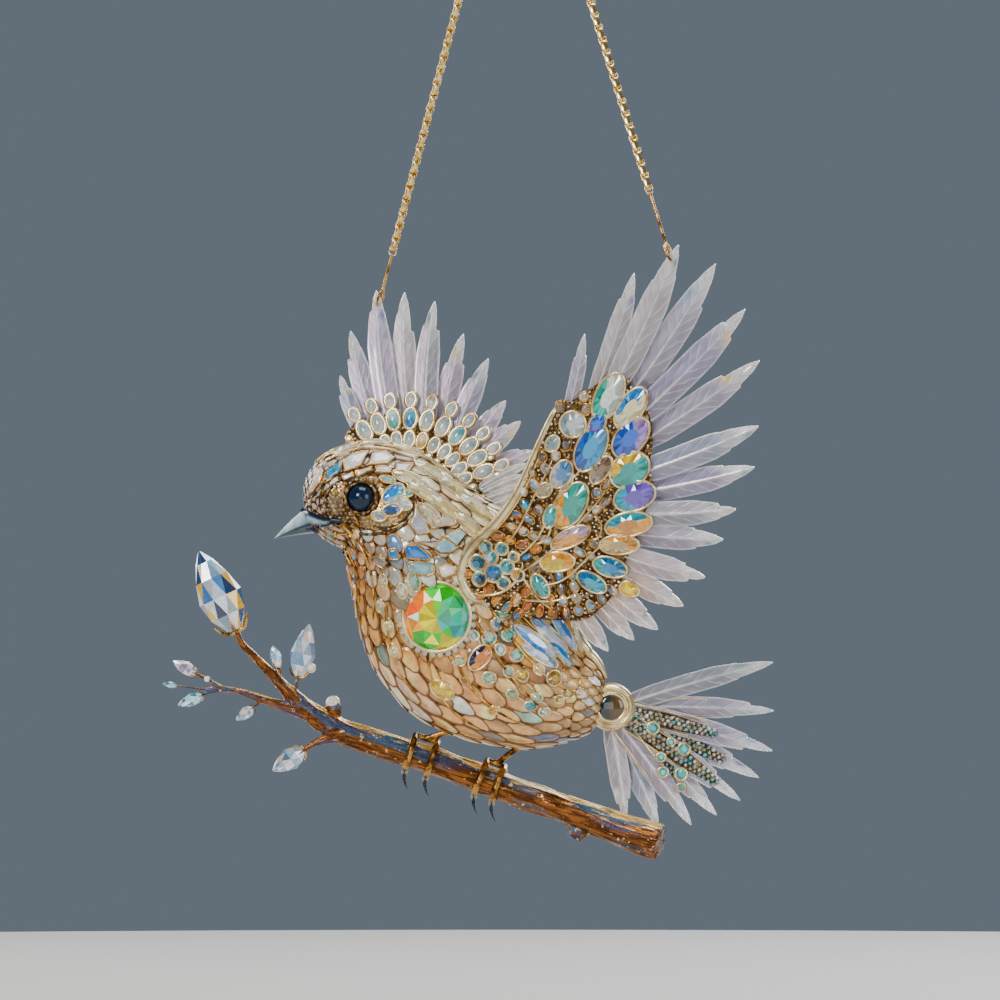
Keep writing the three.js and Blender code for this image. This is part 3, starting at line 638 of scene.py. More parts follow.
def skin_at(x, z, side=1):
    """The body's point and normal behind grid place (x, z), seen from the front or, with side -1, the back."""
    goal = place(np.atleast_1d(x), np.atleast_1d(z))
    facing = -side * SKIN_NORMAL[..., 1] > 0.05
    spots = SKIN[facing]
    normals = SKIN_NORMAL[facing]
    gap = (goal[:, None, 0] - spots[None, :, 0]) ** 2 + (goal[:, None, 2] - spots[None, :, 2]) ** 2
    nearest = gap.argmin(1)
    point, normal = spots[nearest].copy(), normals[nearest]
    off = goal - point
    point[:, 1] -= (off[:, 0] * normal[:, 0] + off[:, 2] * normal[:, 2]) / normal[:, 1]
    point[:, [0, 2]] = goal[:, [0, 2]]
    return point, normal


print("in front, the grid's middle is at y =", skin_at(0, 0)[0][0, 1].round(4))

# %% [markdown]
# ## Tiles on the body
# Tiles lie in rows across the body, each row shifted by half a tile. A tile is a small domed scale
# whose outline is widest before its middle and round behind. It is drawn in the map and then bent
# to the body with everything else.

# %% Body colours
# Grid place, reach and colour of soft patches, and how often other colours are mixed in
PATCHES = [
    (-180, 140, 40, "#cfe0e2"),
    (-150, 150, 34, "#f3efe4"),
    (-110, 140, 50, "#f8f0d9"),
    (-60, 100, 60, "#f6eac4"),
    (-10, 62, 50, "#f4e6bf"),
    (-150, 74, 26, "#9a8763"),
    (-186, 92, 22, "#8d7a6a"),
    (-128, 62, 24, "#8f7c74"),
    (-140, 30, 30, "#a5692a"),
    (-138, -30, 34, "#d9a055"),
    (-118, -90, 40, "#e0ab6e"),
    (-90, 44, 24, "#4f9fc4"),
    (-60, 56, 24, "#a9d5dc"),
    (-80, 76, 26, "#b8b4a4"),
    (-90, 0, 26, "#a8a080"),
    (-60, -90, 46, "#d99a5a"),
    (-10, -120, 46, "#dcaa78"),
    (40, -110, 40, "#c9a070"),
    (4, -58, 30, "#8a6844"),
    (-15, -56, 16, "#453658"),
    # The next three pale patches, low on the belly's left, are a painted highlight.
    (-102, -90, 15, "#fff8ee"),
    (-82, -108, 14, "#fff8ee"),
    (-112, -70, 11, "#f6e2c4"),
    (50, -84, 34, "#c4a878"),
    (40, 0, 60, "#c9a25c"),
]
ACCENTS = colours("#2f83c0", "#3fa7a4", "#f2ac2a", "#fbf3e0", "#6a4a86", "#d8eef0", "#b9652a", "#1f4f64")


def patch_colours(points):
    """Weighted mean of the patches' colours, each weight exp(-(distance / reach) ** 2)."""
    x = (points[..., 0] - MIDDLE[0]) / GRID
    z = (points[..., 2] - MIDDLE[2]) / GRID
    table = np.array([(a, b, c) for a, b, c, _ in PATCHES], float)
    shades = colours(*[code for *_, code in PATCHES])
    away = (x[..., None] - table[:, 0]) ** 2 + (z[..., None] - table[:, 1]) ** 2
    weight = np.exp(-away / table[:, 2] ** 2) + 1e-9
    return (weight[..., None] * shades).sum(-2) / weight.sum(-1, keepdims=True)


print(len(PATCHES), "patches of colour and", len(ACCENTS), "accents")

# %% [markdown]
# Enamel scales cover the body. Copies of one scale look stamped and a texture stays flat, so each
# has its own outline, lean and colours.

# %% Lay the tiles
RIM_TONE = hex_colour("#97662f")
# Grid places of the eye, of the oval patch round it and of the breast gem
EYE, EYE_PATCH, GEM = (-138.0, 102.0), (-130.0, 98.0), (-63.0, -16.0)
# Shares of the way along the body, and the tiles' length in mm there
TILE_LENGTHS = ([0, 0.1, 0.22, 0.45, 0.72, 0.9, 1], [3.2, 4.4, 6.2, 8.6, 8.4, 5.6, 4])
# Rings of one tile from its top to its foot: their size as a share, and their height
TILE_RINGS = np.array([0.45, 0.79, 0.85, 0.91, 1.0])
TILE_HEIGHT = np.array([0.7, 0.5, 0.28, 0.54, -0.75]) * MM
TILE_SIDES = 12


def lay_tiles():
    """Rows at steps of surface length; each row's tiles at equal steps of its own girth."""
    travelled = np.concatenate([[0], np.cumsum(np.linalg.norm(np.diff(SKIN, axis=0), axis=2).mean(1))])
    shares = np.linspace(0, 1, len(SKIN))
    found = []
    distance, row = 0.0012, 0
    while distance < travelled[-1] - 0.001:
        t = np.interp(distance, travelled, shares)
        length = np.interp(distance / travelled[-1], *TILE_LENGTHS) * MM
        step = 0.66 * length
        ring = sample(SKIN, np.full(121, t), np.arange(121) / 120)
        girth = np.concatenate([[0], np.cumsum(np.linalg.norm(np.diff(ring, axis=0), axis=1))])
        count = max(3, int(round(girth[-1] / (0.64 * length))))
        spots = ((np.arange(count) + 0.5 * (row % 2)) / count) * girth[-1]
        turn = np.interp(spots, girth, np.arange(121) / 120)
        wide = np.interp(spots + 0.5 * girth[-1] / count, girth, np.arange(121) / 120) - turn
        wide = np.where(wide < 0.2 / count, 0.5 / count, wide)
        step_t = np.interp(distance + step, travelled, shares) - t
        found.append(np.stack([np.full(count, t), turn, np.full(count, step_t), wide], -1))
        distance += step
        row += 1
    return np.concatenate(found).T


tile_t, tile_turn, tile_step, tile_half = lay_tiles()
tile_t = tile_t + rng.normal(0, 0.06, len(tile_t)) * tile_step
tile_turn = tile_turn + rng.normal(0, 0.05, len(tile_t)) * tile_half
tile_centre = on_body(tile_t, tile_turn)
grid_x = (tile_centre[:, 0] - MIDDLE[0]) / GRID
grid_z = (tile_centre[:, 2] - MIDDLE[2]) / GRID
in_gem = np.hypot(grid_x - GEM[0], grid_z - GEM[1]) < 33
in_patch = np.hypot((grid_x - EYE_PATCH[0]) / 47, (grid_z - EYE_PATCH[1]) / 31) < 1
flank = np.abs(tile_centre[:, 1]) > 0.25 * REACH.max()
keep = ~((in_gem | in_patch) & flank)
tile_t, tile_turn, tile_step, tile_half = (a[keep, None, None] for a in (tile_t, tile_turn, tile_step, tile_half))
tile_centre = tile_centre[keep]

# Each outline is (sign cos a * |cos a|^p, sign sin a * |sin a|^q): p and q differ, so no two tiles match
count = len(tile_centre)
angle = circle(TILE_SIDES)[None, None]
ring = TILE_RINGS[None, :, None]
blunt = rng.uniform(0.62, 1.15, (2, count, 1, 1))
ahead = np.sign(np.cos(angle)) * np.abs(np.cos(angle)) ** blunt[0] * ring
aside = np.sign(np.sin(angle)) * np.abs(np.sin(angle)) ** blunt[1] * ring
aside = aside * (1 - rng.uniform(0.05, 0.4, (count, 1, 1)) * ahead)
twist = rng.normal(0, 0.12, (count, 1, 1))
map_t = tile_t + (ahead * np.cos(twist) - aside * np.sin(twist)) * 0.82 * tile_step
map_turn = tile_turn + (ahead * np.sin(twist) + aside * np.cos(twist)) * 0.97 * tile_half
lean = 0.00042 * (ahead + 0.4)
height = np.broadcast_to(TILE_HEIGHT[None, :, None] + lean, map_t.shape)
tile_points = on_body(map_t, map_turn, height)
sheet = lattice(len(TILE_RINGS), TILE_SIDES, wrap=True)
per_tile = len(TILE_RINGS) * TILE_SIDES
first_point = (np.arange(count) * per_tile)[:, None]
tile_faces = (sheet[None] + first_point[..., None]).reshape(-1, 4)
tile_tops = first_point + np.arange(TILE_SIDES)[::-1]
tile_floors = first_point + per_tile - TILE_SIDES + np.arange(TILE_SIDES)

base = vivid(patch_colours(tile_centre), 1.15) * 1.02
light = rng.normal(1.0, 0.24, (count, 1))
odd = rng.random(count) < 0.12
base = np.where(odd[:, None], 0.3 * base + 0.7 * ACCENTS[rng.integers(0, len(ACCENTS), count)], base)
first = np.clip(base * light, 0, 1)[:, None, None]
second = np.clip(base * light * rng.normal(1.25, 0.3, (count, 1)), 0, 1)[:, None, None]
slant = rng.uniform(0, 2 * np.pi, (count, 1, 1))
mix = np.clip(1.6 * (ahead * np.cos(slant) + aside * np.sin(slant)) + 0.5, 0, 1)[..., None]
rim = np.broadcast_to((TILE_RINGS > 0.8)[None, :, None, None], (*map_t.shape, 1))
tile_tint = np.where(rim, RIM_TONE, first * (1 - mix) + second * mix)
add_piece(
    "body_tiles",
    (tile_points.reshape(-1, 3), [tile_faces, tile_tops, tile_floors]),
    TILE,
    tint=tile_tint.reshape(-1, 3),
    metal=rim.astype(float).ravel(),
)
print(count, "tiles on the body")

# %% [markdown]
# Between the scales a gilt ground shows. The solid has flats that would stand out, so the smoothed
# map becomes a closed shell.

# %% The gilt shell under the tiles
shell_points = np.concatenate([SKIN.reshape(-1, 3), SKIN[[0, -1]].mean(1)])
rows, columns = REACH.shape
here = np.arange(columns)
after, last_row = (here + 1) % columns, (rows - 1) * columns
brow_tip, rump_tip = np.full((2, columns), rows * columns) + [[0], [1]]
shell_faces = [
    lattice(rows, columns, wrap=True),
    np.stack([after, here, brow_tip], -1),
    np.stack([last_row + here, last_row + after, rump_tip], -1),
]
add_piece("body_shell", (shell_points, shell_faces), GILT, hides=["body"])
print(len(shell_points), "points in the gilt shell")

# %% [markdown]
# ## Stones in settings
# A stone's place is given on the grid with its half-length, half-width and slope in degrees.
# It lies on a surface: the body, or the face of a wing. Its setting is a ring of wire round it.


# %% Stones and rings
def frames_on(points, normals, slope):
    """Two unit directions on the surface: the slope's direction laid flat on it, and the one across."""
    slope = np.radians(slope)
    way = np.stack([np.cos(slope), np.zeros_like(slope), np.sin(slope)], -1)
    long_way = unit(way - (way * normals).sum(-1, keepdims=True) * normals)
    return long_way, np.cross(normals, long_way)


def stones_on(points, normals, long_half, wide_half, slope, height, shape):
    """Scatters one shape, stretched to each stone's halves and height."""
    long_way, across = frames_on(points, normals, slope)
    axes = np.stack([long_way * long_half[:, None], across * wide_half[:, None], normals * height[:, None]], 1)
    return scatter(shape, points, axes)


def rings_on(points, normals, long_half, wide_half, slope, wire, lift=0.0, segments=20, sides=6):
    """Ring = ((a + r cos s) cos w, (b + r cos s) sin w, r sin s) on the surface."""
    long_way, across = frames_on(points, normals, slope)
    w = circle(segments)[None, :, None, None]
    s = circle(sides)[None, None, :, None]
    wire = np.broadcast_to(wire, len(points))[:, None, None, None]
    a = long_half[:, None, None, None] + wire * np.cos(s)
    b = wide_half[:, None, None, None] + wire * np.cos(s)
    spread = (
        points[:, None, None]
        + a * np.cos(w) * long_way[:, None, None]
        + b * np.sin(w) * across[:, None, None]
        + (wire * np.sin(s) + lift) * normals[:, None, None]
    )
    ring = lattice(segments + 1, sides, wrap=True) % (segments * sides)
    faces = (ring[None] + (np.arange(len(points)) * segments * sides)[:, None, None]).reshape(-1, 4)
    return spread.reshape(-1, 3), [faces]


def two_tone(first, second, local):
    """Colour runs from the first to the second along each stone, with a soft edge between."""
    step = np.clip(local * 1.4 + 0.5, 0, 1)[None, :, None]
    return (first[:, None] * (1 - step) + second[:, None] * step).reshape(-1, 3)


def cut_stones(points, normals, long_half, wide_half, slope, height, first, second, segments=12, table=0.45):
    """Faceted stones: facets ahead of a slanting line take the first colour and the others the second."""
    template = cut_shape(segments, table)
    copies = len(points)
    slant = rng.uniform(0, 2 * np.pi, (copies, 1))
    line = rng.uniform(-0.25, 0.3, (copies, 1))
    shades = []
    for block in template[1]:
        middles = template[0][block].mean(1)
        ahead = middles[:, 0] * np.cos(slant) + middles[:, 1] * np.sin(slant) > line
        shade = np.where(ahead[..., None], first[:, None], second[:, None])
        shade = shade * rng.uniform(0.55, 1.35, (copies, len(block), 1))
        shades.append(np.repeat(shade.reshape(-1, 3), block.shape[1], axis=0))
    stones = stones_on(points, normals, long_half, wide_half, slope, height, template)
    return stones, vivid(0.8 * np.concatenate(shades), 1.85)


def squashed(line, radius, normal, share, sides=10):
    """A tube whose reach along the normal is cut to a share of its radius."""
    points, blocks = tube(line, radius, sides, facing=normal)
    off = points - np.repeat(line, sides, axis=0)
    flat = off - (1 - share) * (off @ normal)[:, None] * normal
    return np.repeat(line, sides, axis=0) + flat, blocks


print("a cut stone has", sum(len(block) for block in cut_shape()[1]), "facets")

# %% [markdown]
# ## Feathers
# Each feather follows its own solid: the long way is fitted to the solid's corners, and a curve
# across = a + b * along + c * along^2 is fitted to its middle. The blade is a lens with a raised rib.


# %% Feather shapes
def fan_plane(names):
    """The plane that fits all corners of a fan's feathers: its middle and its normal towards the front."""
    corners = np.concatenate([solid_points(name) for name in names])
    middle = corners.mean(0)
    normal = np.linalg.svd(corners - middle, full_matrices=False)[2][2]
    return middle, normal if normal[1] < 0 else -normal


def fit_feather(name, hub, normal):
    """Frame, ends and middle curve of one feather's solid."""
    corners = solid_points(name)
    middle = corners.mean(0)
    flat = corners - middle
    flat = flat - (flat @ normal)[:, None] * normal
    long_way = np.linalg.svd(flat, full_matrices=False)[2][0]
    if (middle - hub) @ long_way < 0:
        long_way = -long_way
    across = np.cross(normal, long_way)
    u, v = (corners - middle) @ long_way, (corners - middle) @ across
    bend = np.polyfit(u, v, 2)
    half = np.abs(v - np.polyval(bend, u)).max()
    frame_of = {"middle": middle, "long": long_way, "across": across}
    return frame_of | {"from": u.min(), "to": u.max(), "bend": bend, "half": half}


def on_feather(fit, u, v):
    """Point = middle + u * long way + v * across."""
    return fit["middle"] + np.asarray(u)[..., None] * fit["long"] + np.asarray(v)[..., None] * fit["across"]


FEATHER_ROWS = 46
ACROSS = np.array([-1, -0.94, -0.82, -0.62, -0.4, -0.2, -0.09, -0.04, 0, 0.04, 0.09, 0.2, 0.4, 0.62, 0.82, 0.94, 1])
FEATHER_COLUMNS = len(ACROSS)


def feather_outline(s, step_at, step):
    """Half-width by share of length: wide at the seat, pointed at the tip, with one step near the tip."""
    swell = np.interp(s, [0, 0.06, 0.2, 0.45, 0.62, 0.8, 0.93, 1], [0.55, 0.8, 0.97, 1.0, 0.99, 0.72, 0.36, 0.04])
    cut = step * np.clip((s - step_at) / 0.012, 0, 1) * np.clip((1 - s) / (1 - step_at), 0, 1)
    return swell * (1 - cut)


def blade(fit, normal, tints, warm, thickness=0.0016):
    """Points of both faces, their tint, and how far along and across they are, in mm."""
    steps = rng.uniform(0.7, 0.86, 2)
    depth = rng.uniform(0.05, 0.42, 2)
    s = np.sort(np.concatenate([np.linspace(0, 1, FEATHER_ROWS - 4), steps, steps + 0.012]))[:, None]
    c = ACROSS[None]
    u = fit["from"] + (fit["to"] - fit["from"]) * s
    right, left = (feather_outline(s, at, step) for at, step in zip(steps, depth))
    half = fit["half"] * np.where(c > 0, right, left)
    v = np.polyval(fit["bend"], u) + c * half
    lens = (1 - np.abs(c)) ** 0.75 * np.clip((1 - s) * 9, 0.15, 1)
    rib = np.exp(-((c * half / 0.00028) ** 2)) * np.clip(1.1 - s, 0, 1)
    rim = np.exp(-(((1 - np.abs(c)) * half / 0.0002) ** 2))
    flat = on_feather(fit, u, v)
    out = (0.5 * thickness * (0.3 + 0.85 * lens) + 0.0003 * rib + 0.0001 * rim)[..., None] * normal
    points = np.concatenate([(flat + out).reshape(-1, 3), (flat - out).reshape(-1, 3)])
    body, edge, tip = tints
    white = np.clip(rim * 0.95 + rib * 1.1, 0, 1)[..., None]
    # Painted shade: one half of each blade is darker than the other, and each blade darkens towards its seat. A wave
    # along it adds streaks.
    painted_half_shade = np.where(c > 0, 1.05, 0.74) * (0.62 + 0.38 * np.clip(s / 0.45, 0, 1))
    streak_and_painted_shade = painted_half_shade * (0.86 + 0.14 * np.sin(21 * s + rng.uniform(0, 6)) * np.sin(9 * s + 5 * np.abs(c)))
    tip_light = np.clip((s - 0.66) / 0.2, 0, 1)[..., None] * 0.55
    ground = body * streak_and_painted_shade[..., None] * (1 - tip_light) + edge * tip_light
    root = (warm * np.clip(1.15 - s, 0, 1))[..., None]
    ground = ground * (1 - root) + hex_colour("#efc083") * root
    # Painted glint: a spot of the tip colour on one half of the blade, near its tip.
    where = rng.uniform(0.72, 0.93)
    glint = (np.exp(-(((s - where) / 0.045) ** 2)) * np.clip(rng.choice([-1, 1]) * c * 1.6, 0, 1))[..., None]
    colour = ground * (1 - 0.85 * glint) + tip * 0.85 * glint
    colour = colour * (1 - white) + edge * white
    shade = np.concatenate([colour.reshape(-1, 3)] * 2)
    across_mm = np.broadcast_to(c * half, (FEATHER_ROWS, FEATHER_COLUMNS))
    along_mm = np.broadcast_to(u, (FEATHER_ROWS, FEATHER_COLUMNS))
    uv = np.stack([along_mm.ravel(), across_mm.ravel()], -1) * 1000
    return points, np.clip(shade, 0, 1), np.concatenate([uv, uv])


def blade_faces():
    """Front and back sheets joined by a strip round the edge."""
    rows, columns = FEATHER_ROWS, FEATHER_COLUMNS
    sheet = lattice(rows, columns)
    back = sheet[:, ::-1] + rows * columns
    top = np.arange(columns)
    right = np.arange(rows) * columns + columns - 1
    bottom = (rows - 1) * columns + np.arange(columns)[::-1]
    left = np.arange(rows)[::-1] * columns
    loop = np.concatenate([top[:-1], right[:-1], bottom[:-1], left[:-1]])
    after = np.roll(loop, -1)
    strip = np.stack([after, loop, loop + rows * columns, after + rows * columns], -1)
    return [sheet, back, strip]


FEATHER_TONES = colours("#b4b0c6", "#a6a2c2", "#c9c3c6", "#a6b0c8", "#bbacbe", "#a6aab4")
TIP_GLINT_TONES = colours("#1f7f80", "#7fb0d6", "#f2d23a", "#6a5fb2", "#f4f4f4", "#2f9f86")
EDGE_TONE = hex_colour("#fffefa")
FANS = {"near": ("near_wing_feather", 15), "far": ("far_wing_feather", 10), "tail": ("tail_feather", 9)}
PLANES, FITS = {}, {}


def dress_fan(key):
    """Builds all feathers of one fan as one piece."""
    stem, count = FANS[key]
    names = [f"{stem}_{i:02d}" for i in range(1, count + 1)]
    middle, normal = fan_plane(names)
    mount = {"near": "near_wing_mount", "far": "far_wing_mount", "tail": "tail_mount"}[key]
    hub = solid_points(mount).mean(0)
    PLANES[key] = (middle, normal)
    FITS[key] = [fit_feather(name, hub, normal) for name in names]
    picks = rng.integers(0, 6, (count, 2))
    warms = [np.clip(-1.3 * fit["long"][2], 0, 0.65) if key == "near" else 0.0 for fit in FITS[key]]
    light = 1.25 if key == "far" else 1.0
    tones = [(light * FEATHER_TONES[a], EDGE_TONE, TIP_GLINT_TONES[b]) for a, b in picks]
    made = [blade(fit, normal, tone, warm) for fit, tone, warm in zip(FITS[key], tones, warms)]
    shape = join([(points, blade_faces()) for points, _, _ in made])
    add_piece(
        f"{key}_feathers",
        shape,
        FEATHER,
        tint=np.concatenate([shade for _, shade, _ in made]),
        uv=np.concatenate([uv for _, _, uv in made]),
        hides=names,
    )


for fan in FANS:
    dress_fan(fan)
print("feathers lie on planes facing", {key: PLANES[key][1].round(2).tolist() for key in PLANES})

# %% [markdown]
# ## The wings' metalwork
# A slab follows the feathers' seats on one side and a drawn edge on the other. Stones cover both faces.


# %% Slabs and faces
def on_plane(key, x, z, lift=0.0):
    """The point of a fan's plane behind grid place (x, z), raised by lift along the normal."""
    middle, normal = PLANES[key]
    point = place(x, z)
    off = (point - middle) @ normal - lift
    point[..., 1] -= off / normal[1]
    return point


def slab(outline, normal, thickness, bevel):
    """Four loops of the outline: inset front, front edge, back edge, inset back."""
    centre = outline.mean(0)
    inward = unit(centre - outline) * bevel
    half = thickness / 2
    loops = [
        outline + inward + normal * half,
        outline + normal * (half - bevel),
        outline - normal * (half - bevel),
        outline + inward - normal * half,
    ]
    count = len(outline)
    cells = lattice(4, count, wrap=True)
    caps = [np.arange(count)[::-1][None], (np.arange(count) + 3 * count)[None]]
    return np.concatenate(loops), [cells, *caps]


def seats(key, depth=0.006):
    """Where each feather leaves its mount."""
    starts = [fit["from"] + depth for fit in FITS[key]]
    return np.array([on_feather(fit, u, np.polyval(fit["bend"], u)) for fit, u in zip(FITS[key], starts)])


MOUNT_THICKNESS = 0.0058
NEAR_EDGE = [(55, -18), (17, -14), (-18, 0), (-36, 25), (-30, 50), (-2, 77), (20, 109), (38, 149), (53, 182), (63, 199)]
FAR_EDGE = [(-8, 104), (-50, 66), (-106, 66), (-140, 113), (-155, 160)]
MOUNT_LINES = {}
for key, edge in (("near", NEAR_EDGE), ("far", FAR_EDGE)):
    middle, normal = PLANES[key]
    rooted = seats(key)
    rooted = rooted - ((rooted - middle) @ normal)[:, None] * normal
    drawn = on_plane(key, *np.array(edge, float).T)
    line = smooth_line(np.concatenate([drawn, rooted]), 160, closed=True)
    MOUNT_LINES[key] = line
    plate = slab(line, normal, MOUNT_THICKNESS, 0.0012)
    add_piece(f"{key}_mount_plate", plate, ANTIQUE, hides=[f"{key}_wing_mount"])
print("mount plates drawn")


# %% [markdown]
# Long ovals sit at the feathers' feet in thin wire. No rule gives a jeweller's choice, so their
# places are drawn. One helper makes both faces.


# %% Stones on a wing
def wing_face(key, x, z, side, half=MOUNT_THICKNESS / 2):
    """Places and normals half a thickness in front of (side 1) or behind (side -1) a fan's plane."""
    normal = PLANES[key][1] * side
    points = on_plane(key, x, z, side * half)
    return points, np.broadcast_to(normal, points.shape)


# Ovals of the near wing: x, z, half-length, half-width, slope, and the two colours
NEAR_OVALS = [
    (107, 202, 24, 12, 62, "#e9efe8", "#4fae9f"),
    (129, 191, 22, 11, 55, "#3f8fc4", "#f3efd2"),
    (90, 152, 24, 13, 62, "#2f74b5", "#6fa9cf"),
    (129, 162, 22, 13, 50, "#3673bd", "#b9a3cf"),
    (128, 130, 20, 15, 38, "#5fa6a0", "#e9c447"),
    (133, 104, 20, 13, 24, "#8d7fc0", "#3cb3c9"),
    (127, 76, 22, 11, 14, "#e6b48a", "#3f9fae"),
    (118, 56, 18, 9, 4, "#dcae86", "#e9d3b0"),
    (109, 34, 16, 9, -14, "#4a86a8", "#6fb3b0"),
    (91, 19, 15, 8, -30, "#3f7fa6", "#6aa7b4"),
    (57, 39, 16, 9, 8, "#f0b23c", "#f6d98a"),
    (70, 95, 24, 13, 58, "#f0b32f", "#6fb3a6"),
    (70, 63, 20, 8, 28, "#e7b78e", "#c9b8c9"),
    (50, 84, 11, 6, 72, "#3f9fa6", "#5fb9bb"),
    (40, 15, 12, 7, -62, "#3f8f94", "#57a3a0"),
    (61, 126, 14, 9, 60, "#c9ced6", "#7c96b8"),
    (72, 175, 12, 12, 0, "#dfe3e2", "#a9b7bb"),
    (52, 156, 8, 6, 60, "#c9cfd2", "#9fb0b3"),
    (44, 110, 8, 6, 40, "#d8cdb6", "#b0a58d"),
    (96, 175, 12, 7, 62, "#6d4f96", "#3f7fc4"),
    (128, 12, 9, 7, -20, "#f1c232", "#f6dc7c"),
    (100, 130, 15, 7, 55, "#7a6a5c", "#a99f94"),
]
# Round stones of the shoulder: x, z, radius and the first colour
SHOULDER_STONES = [
    (-22, 38, 8, "#7ec1cf"),
    (-9, 44, 7, "#cfe3e6"),
    (-20, 22, 7, "#5aa7bd"),
    (-6, 28, 9, "#3f86b5"),
    (7, 34, 7, "#8cc5c9"),
    (4, 18, 6, "#6fb0b0"),
    (-14, 54, 6, "#9fcfd2"),
    (2, 52, 6, "#4f93b8"),
    (18, 26, 6, "#c9a25f"),
    (14, 44, 5, "#d7b57a"),
]
DOME = dome_shape()


def oval_pieces(name, face, rows, height, cut=True, wire=0.00042, metal=None):
    """Stones with a thin wire ring each, on both sides of a mount."""
    table = np.array([row[:5] for row in rows], float)
    first, second = colours(*[row[5] for row in rows]), colours(*[row[6] for row in rows])
    stones, rings, shades = [], [], []
    tall = np.full(len(table), height)
    for side in (1, -1):
        points, normals = face(table[:, 0], table[:, 1], side)
        long_half, wide_half, slope = table[:, 2] * GRID, table[:, 3] * GRID, table[:, 4]
        if cut:
            shape, shade = cut_stones(points, normals, long_half, wide_half, slope, tall, first, second)
        else:
            shape = stones_on(points, normals, long_half, wide_half, slope, tall, DOME)
            shade = two_tone(first, second, DOME[0][:, 0])
        stones.append(shape)
        shades.append(shade)
        rings.append(rings_on(points, normals, long_half, wide_half, slope, wire, 0.0003))
    add_piece(f"{name}_stones", join(stones), CUT if cut else STONE, tint=np.concatenate(shades), smooth=not cut)
    add_piece(f"{name}_rings", join(rings), metal or PALE_GILT)


near_face = partial(wing_face, "near")
NEAR_OVALS = [(x, z, 1.1 * a, 1.1 * b, *rest) for x, z, a, b, *rest in NEAR_OVALS]
oval_pieces("near_oval", near_face, NEAR_OVALS, 0.0016, wire=0.00045)
print(len(NEAR_OVALS), "ovals on each face of the near wing")


# %% [markdown]
# Small stones and beads fill the rest. Random spots overlap, so they follow arcs round the wing's
# root, and those on a stone or past the edge are dropped.


# %% Small stones that fill the wings
def inside(line, x, z):
    """True where a ray to the right of (x, z) crosses the closed line an odd number of times."""
    a, b = line[:, [0, 2]], np.roll(line[:, [0, 2]], -1, 0)
    px, pz = place(x, z)[..., 0][:, None], place(x, z)[..., 2][:, None]
    spans = (a[:, 1] > pz) != (b[:, 1] > pz)
    cross = a[:, 0] + (pz - a[:, 1]) * (b[:, 0] - a[:, 0]) / np.where(b[:, 1] == a[:, 1], 1e-9, b[:, 1] - a[:, 1])
    return (spans & (px < cross)).sum(1) % 2 == 1


def fan_spots(hub, reaches, spacing, first, last):
    """Spots along arcs round the hub, equal steps on each arc, in staggered rows."""
    spots = []
    for row, reach in enumerate(reaches):
        count = max(2, int(reach * np.radians(last - first) / spacing))
        angle = first + (last - first) * (np.arange(count) + 0.5 * (row % 2)) / count
        way = np.radians(angle)
        spots.append(np.stack([hub[0] + reach * np.cos(way), hub[1] + reach * np.sin(way), angle], -1))
    return np.concatenate(spots)


def clear_of(spots, taken, gap):
    """True for spots outside every taken oval grown by the gap."""
    dx, dz = spots[:, None, 0] - taken[None, :, 0], spots[:, None, 1] - taken[None, :, 1]
    slope = np.radians(taken[:, 4])
    u = dx * np.cos(slope) + dz * np.sin(slope)
    v = -dx * np.sin(slope) + dz * np.cos(slope)
    return (np.hypot(u / (taken[:, 2] + gap), v / (taken[:, 3] + gap)) > 1).all(1)


def fill_wing(key, hub, reaches, spacing, span, taken, palette, size, outer=None):
    """Small cut stones in rings of wire, then a carpet of beads wherever there is still room."""
    spots = fan_spots(hub, reaches, spacing, *span)
    spots = spots[inside(MOUNT_LINES[key], spots[:, 0], spots[:, 1]) & clear_of(spots, taken, size[1] * 0.9)]
    count = len(spots)
    stones, rings, shades, carpets, bead_shades = [], [], [], [], []
    blocked = np.concatenate([taken, np.column_stack([spots[:, :2], np.full((count, 2), size), spots[:, 2]])])
    beads = fan_spots(hub, np.arange(reaches[0], reaches[-1] + 12, 4.3), 4.3, *span)
    beads = beads[inside(MOUNT_LINES[key], beads[:, 0], beads[:, 1]) & clear_of(beads, blocked, 1.7)]
    for side in (1, -1):
        points, normals = wing_face(key, spots[:, 0], spots[:, 1], side)
        long_half = size[0] * GRID * rng.uniform(0.8, 1.15, count)
        wide_half = size[1] * GRID * rng.uniform(0.8, 1.1, count)
        first, second = palette[rng.integers(0, len(palette), (2, count))]
        if outer is not None:
            far_out = (spots[:, 0] + 0.5 * spots[:, 1] > rng.normal(62, 16, count))[:, None]
            first = np.where(far_out, outer[rng.integers(0, len(outer), count)], first)
            second = np.where(far_out, outer[rng.integers(0, len(outer), count)], second)
        tall = np.full(count, 0.0010)
        shape, shade = cut_stones(points, normals, long_half, wide_half, spots[:, 2], tall, first, second, 7)
        stones.append(shape)
        shades.append(shade)
        rings.append(rings_on(points, normals, long_half, wide_half, spots[:, 2], 0.0003, 0.0002, segments=12, sides=4))
        points, normals = wing_face(key, beads[:, 0], beads[:, 1], side)
        size_mm = rng.uniform(0.4, 0.62, len(beads)) * MM
        carpets.append(stones_on(points, normals, size_mm, size_mm, np.zeros(len(beads)), size_mm * 1.1, BEAD))
        picked = BEAD_TONES[rng.integers(0, len(BEAD_TONES), len(beads))] * rng.uniform(0.7, 1.2, (len(beads), 1))
        bead_shades.append(np.repeat(np.clip(picked, 0, 1), len(BEAD[0]), axis=0))
    add_piece(f"{key}_fill_stones", join(stones), CUT, tint=np.concatenate(shades), smooth=False)
    add_piece(f"{key}_fill_rings", join(rings), GILT)
    add_piece(f"{key}_beads", join(carpets), BEADS, tint=np.concatenate(bead_shades))
    return count, len(beads)


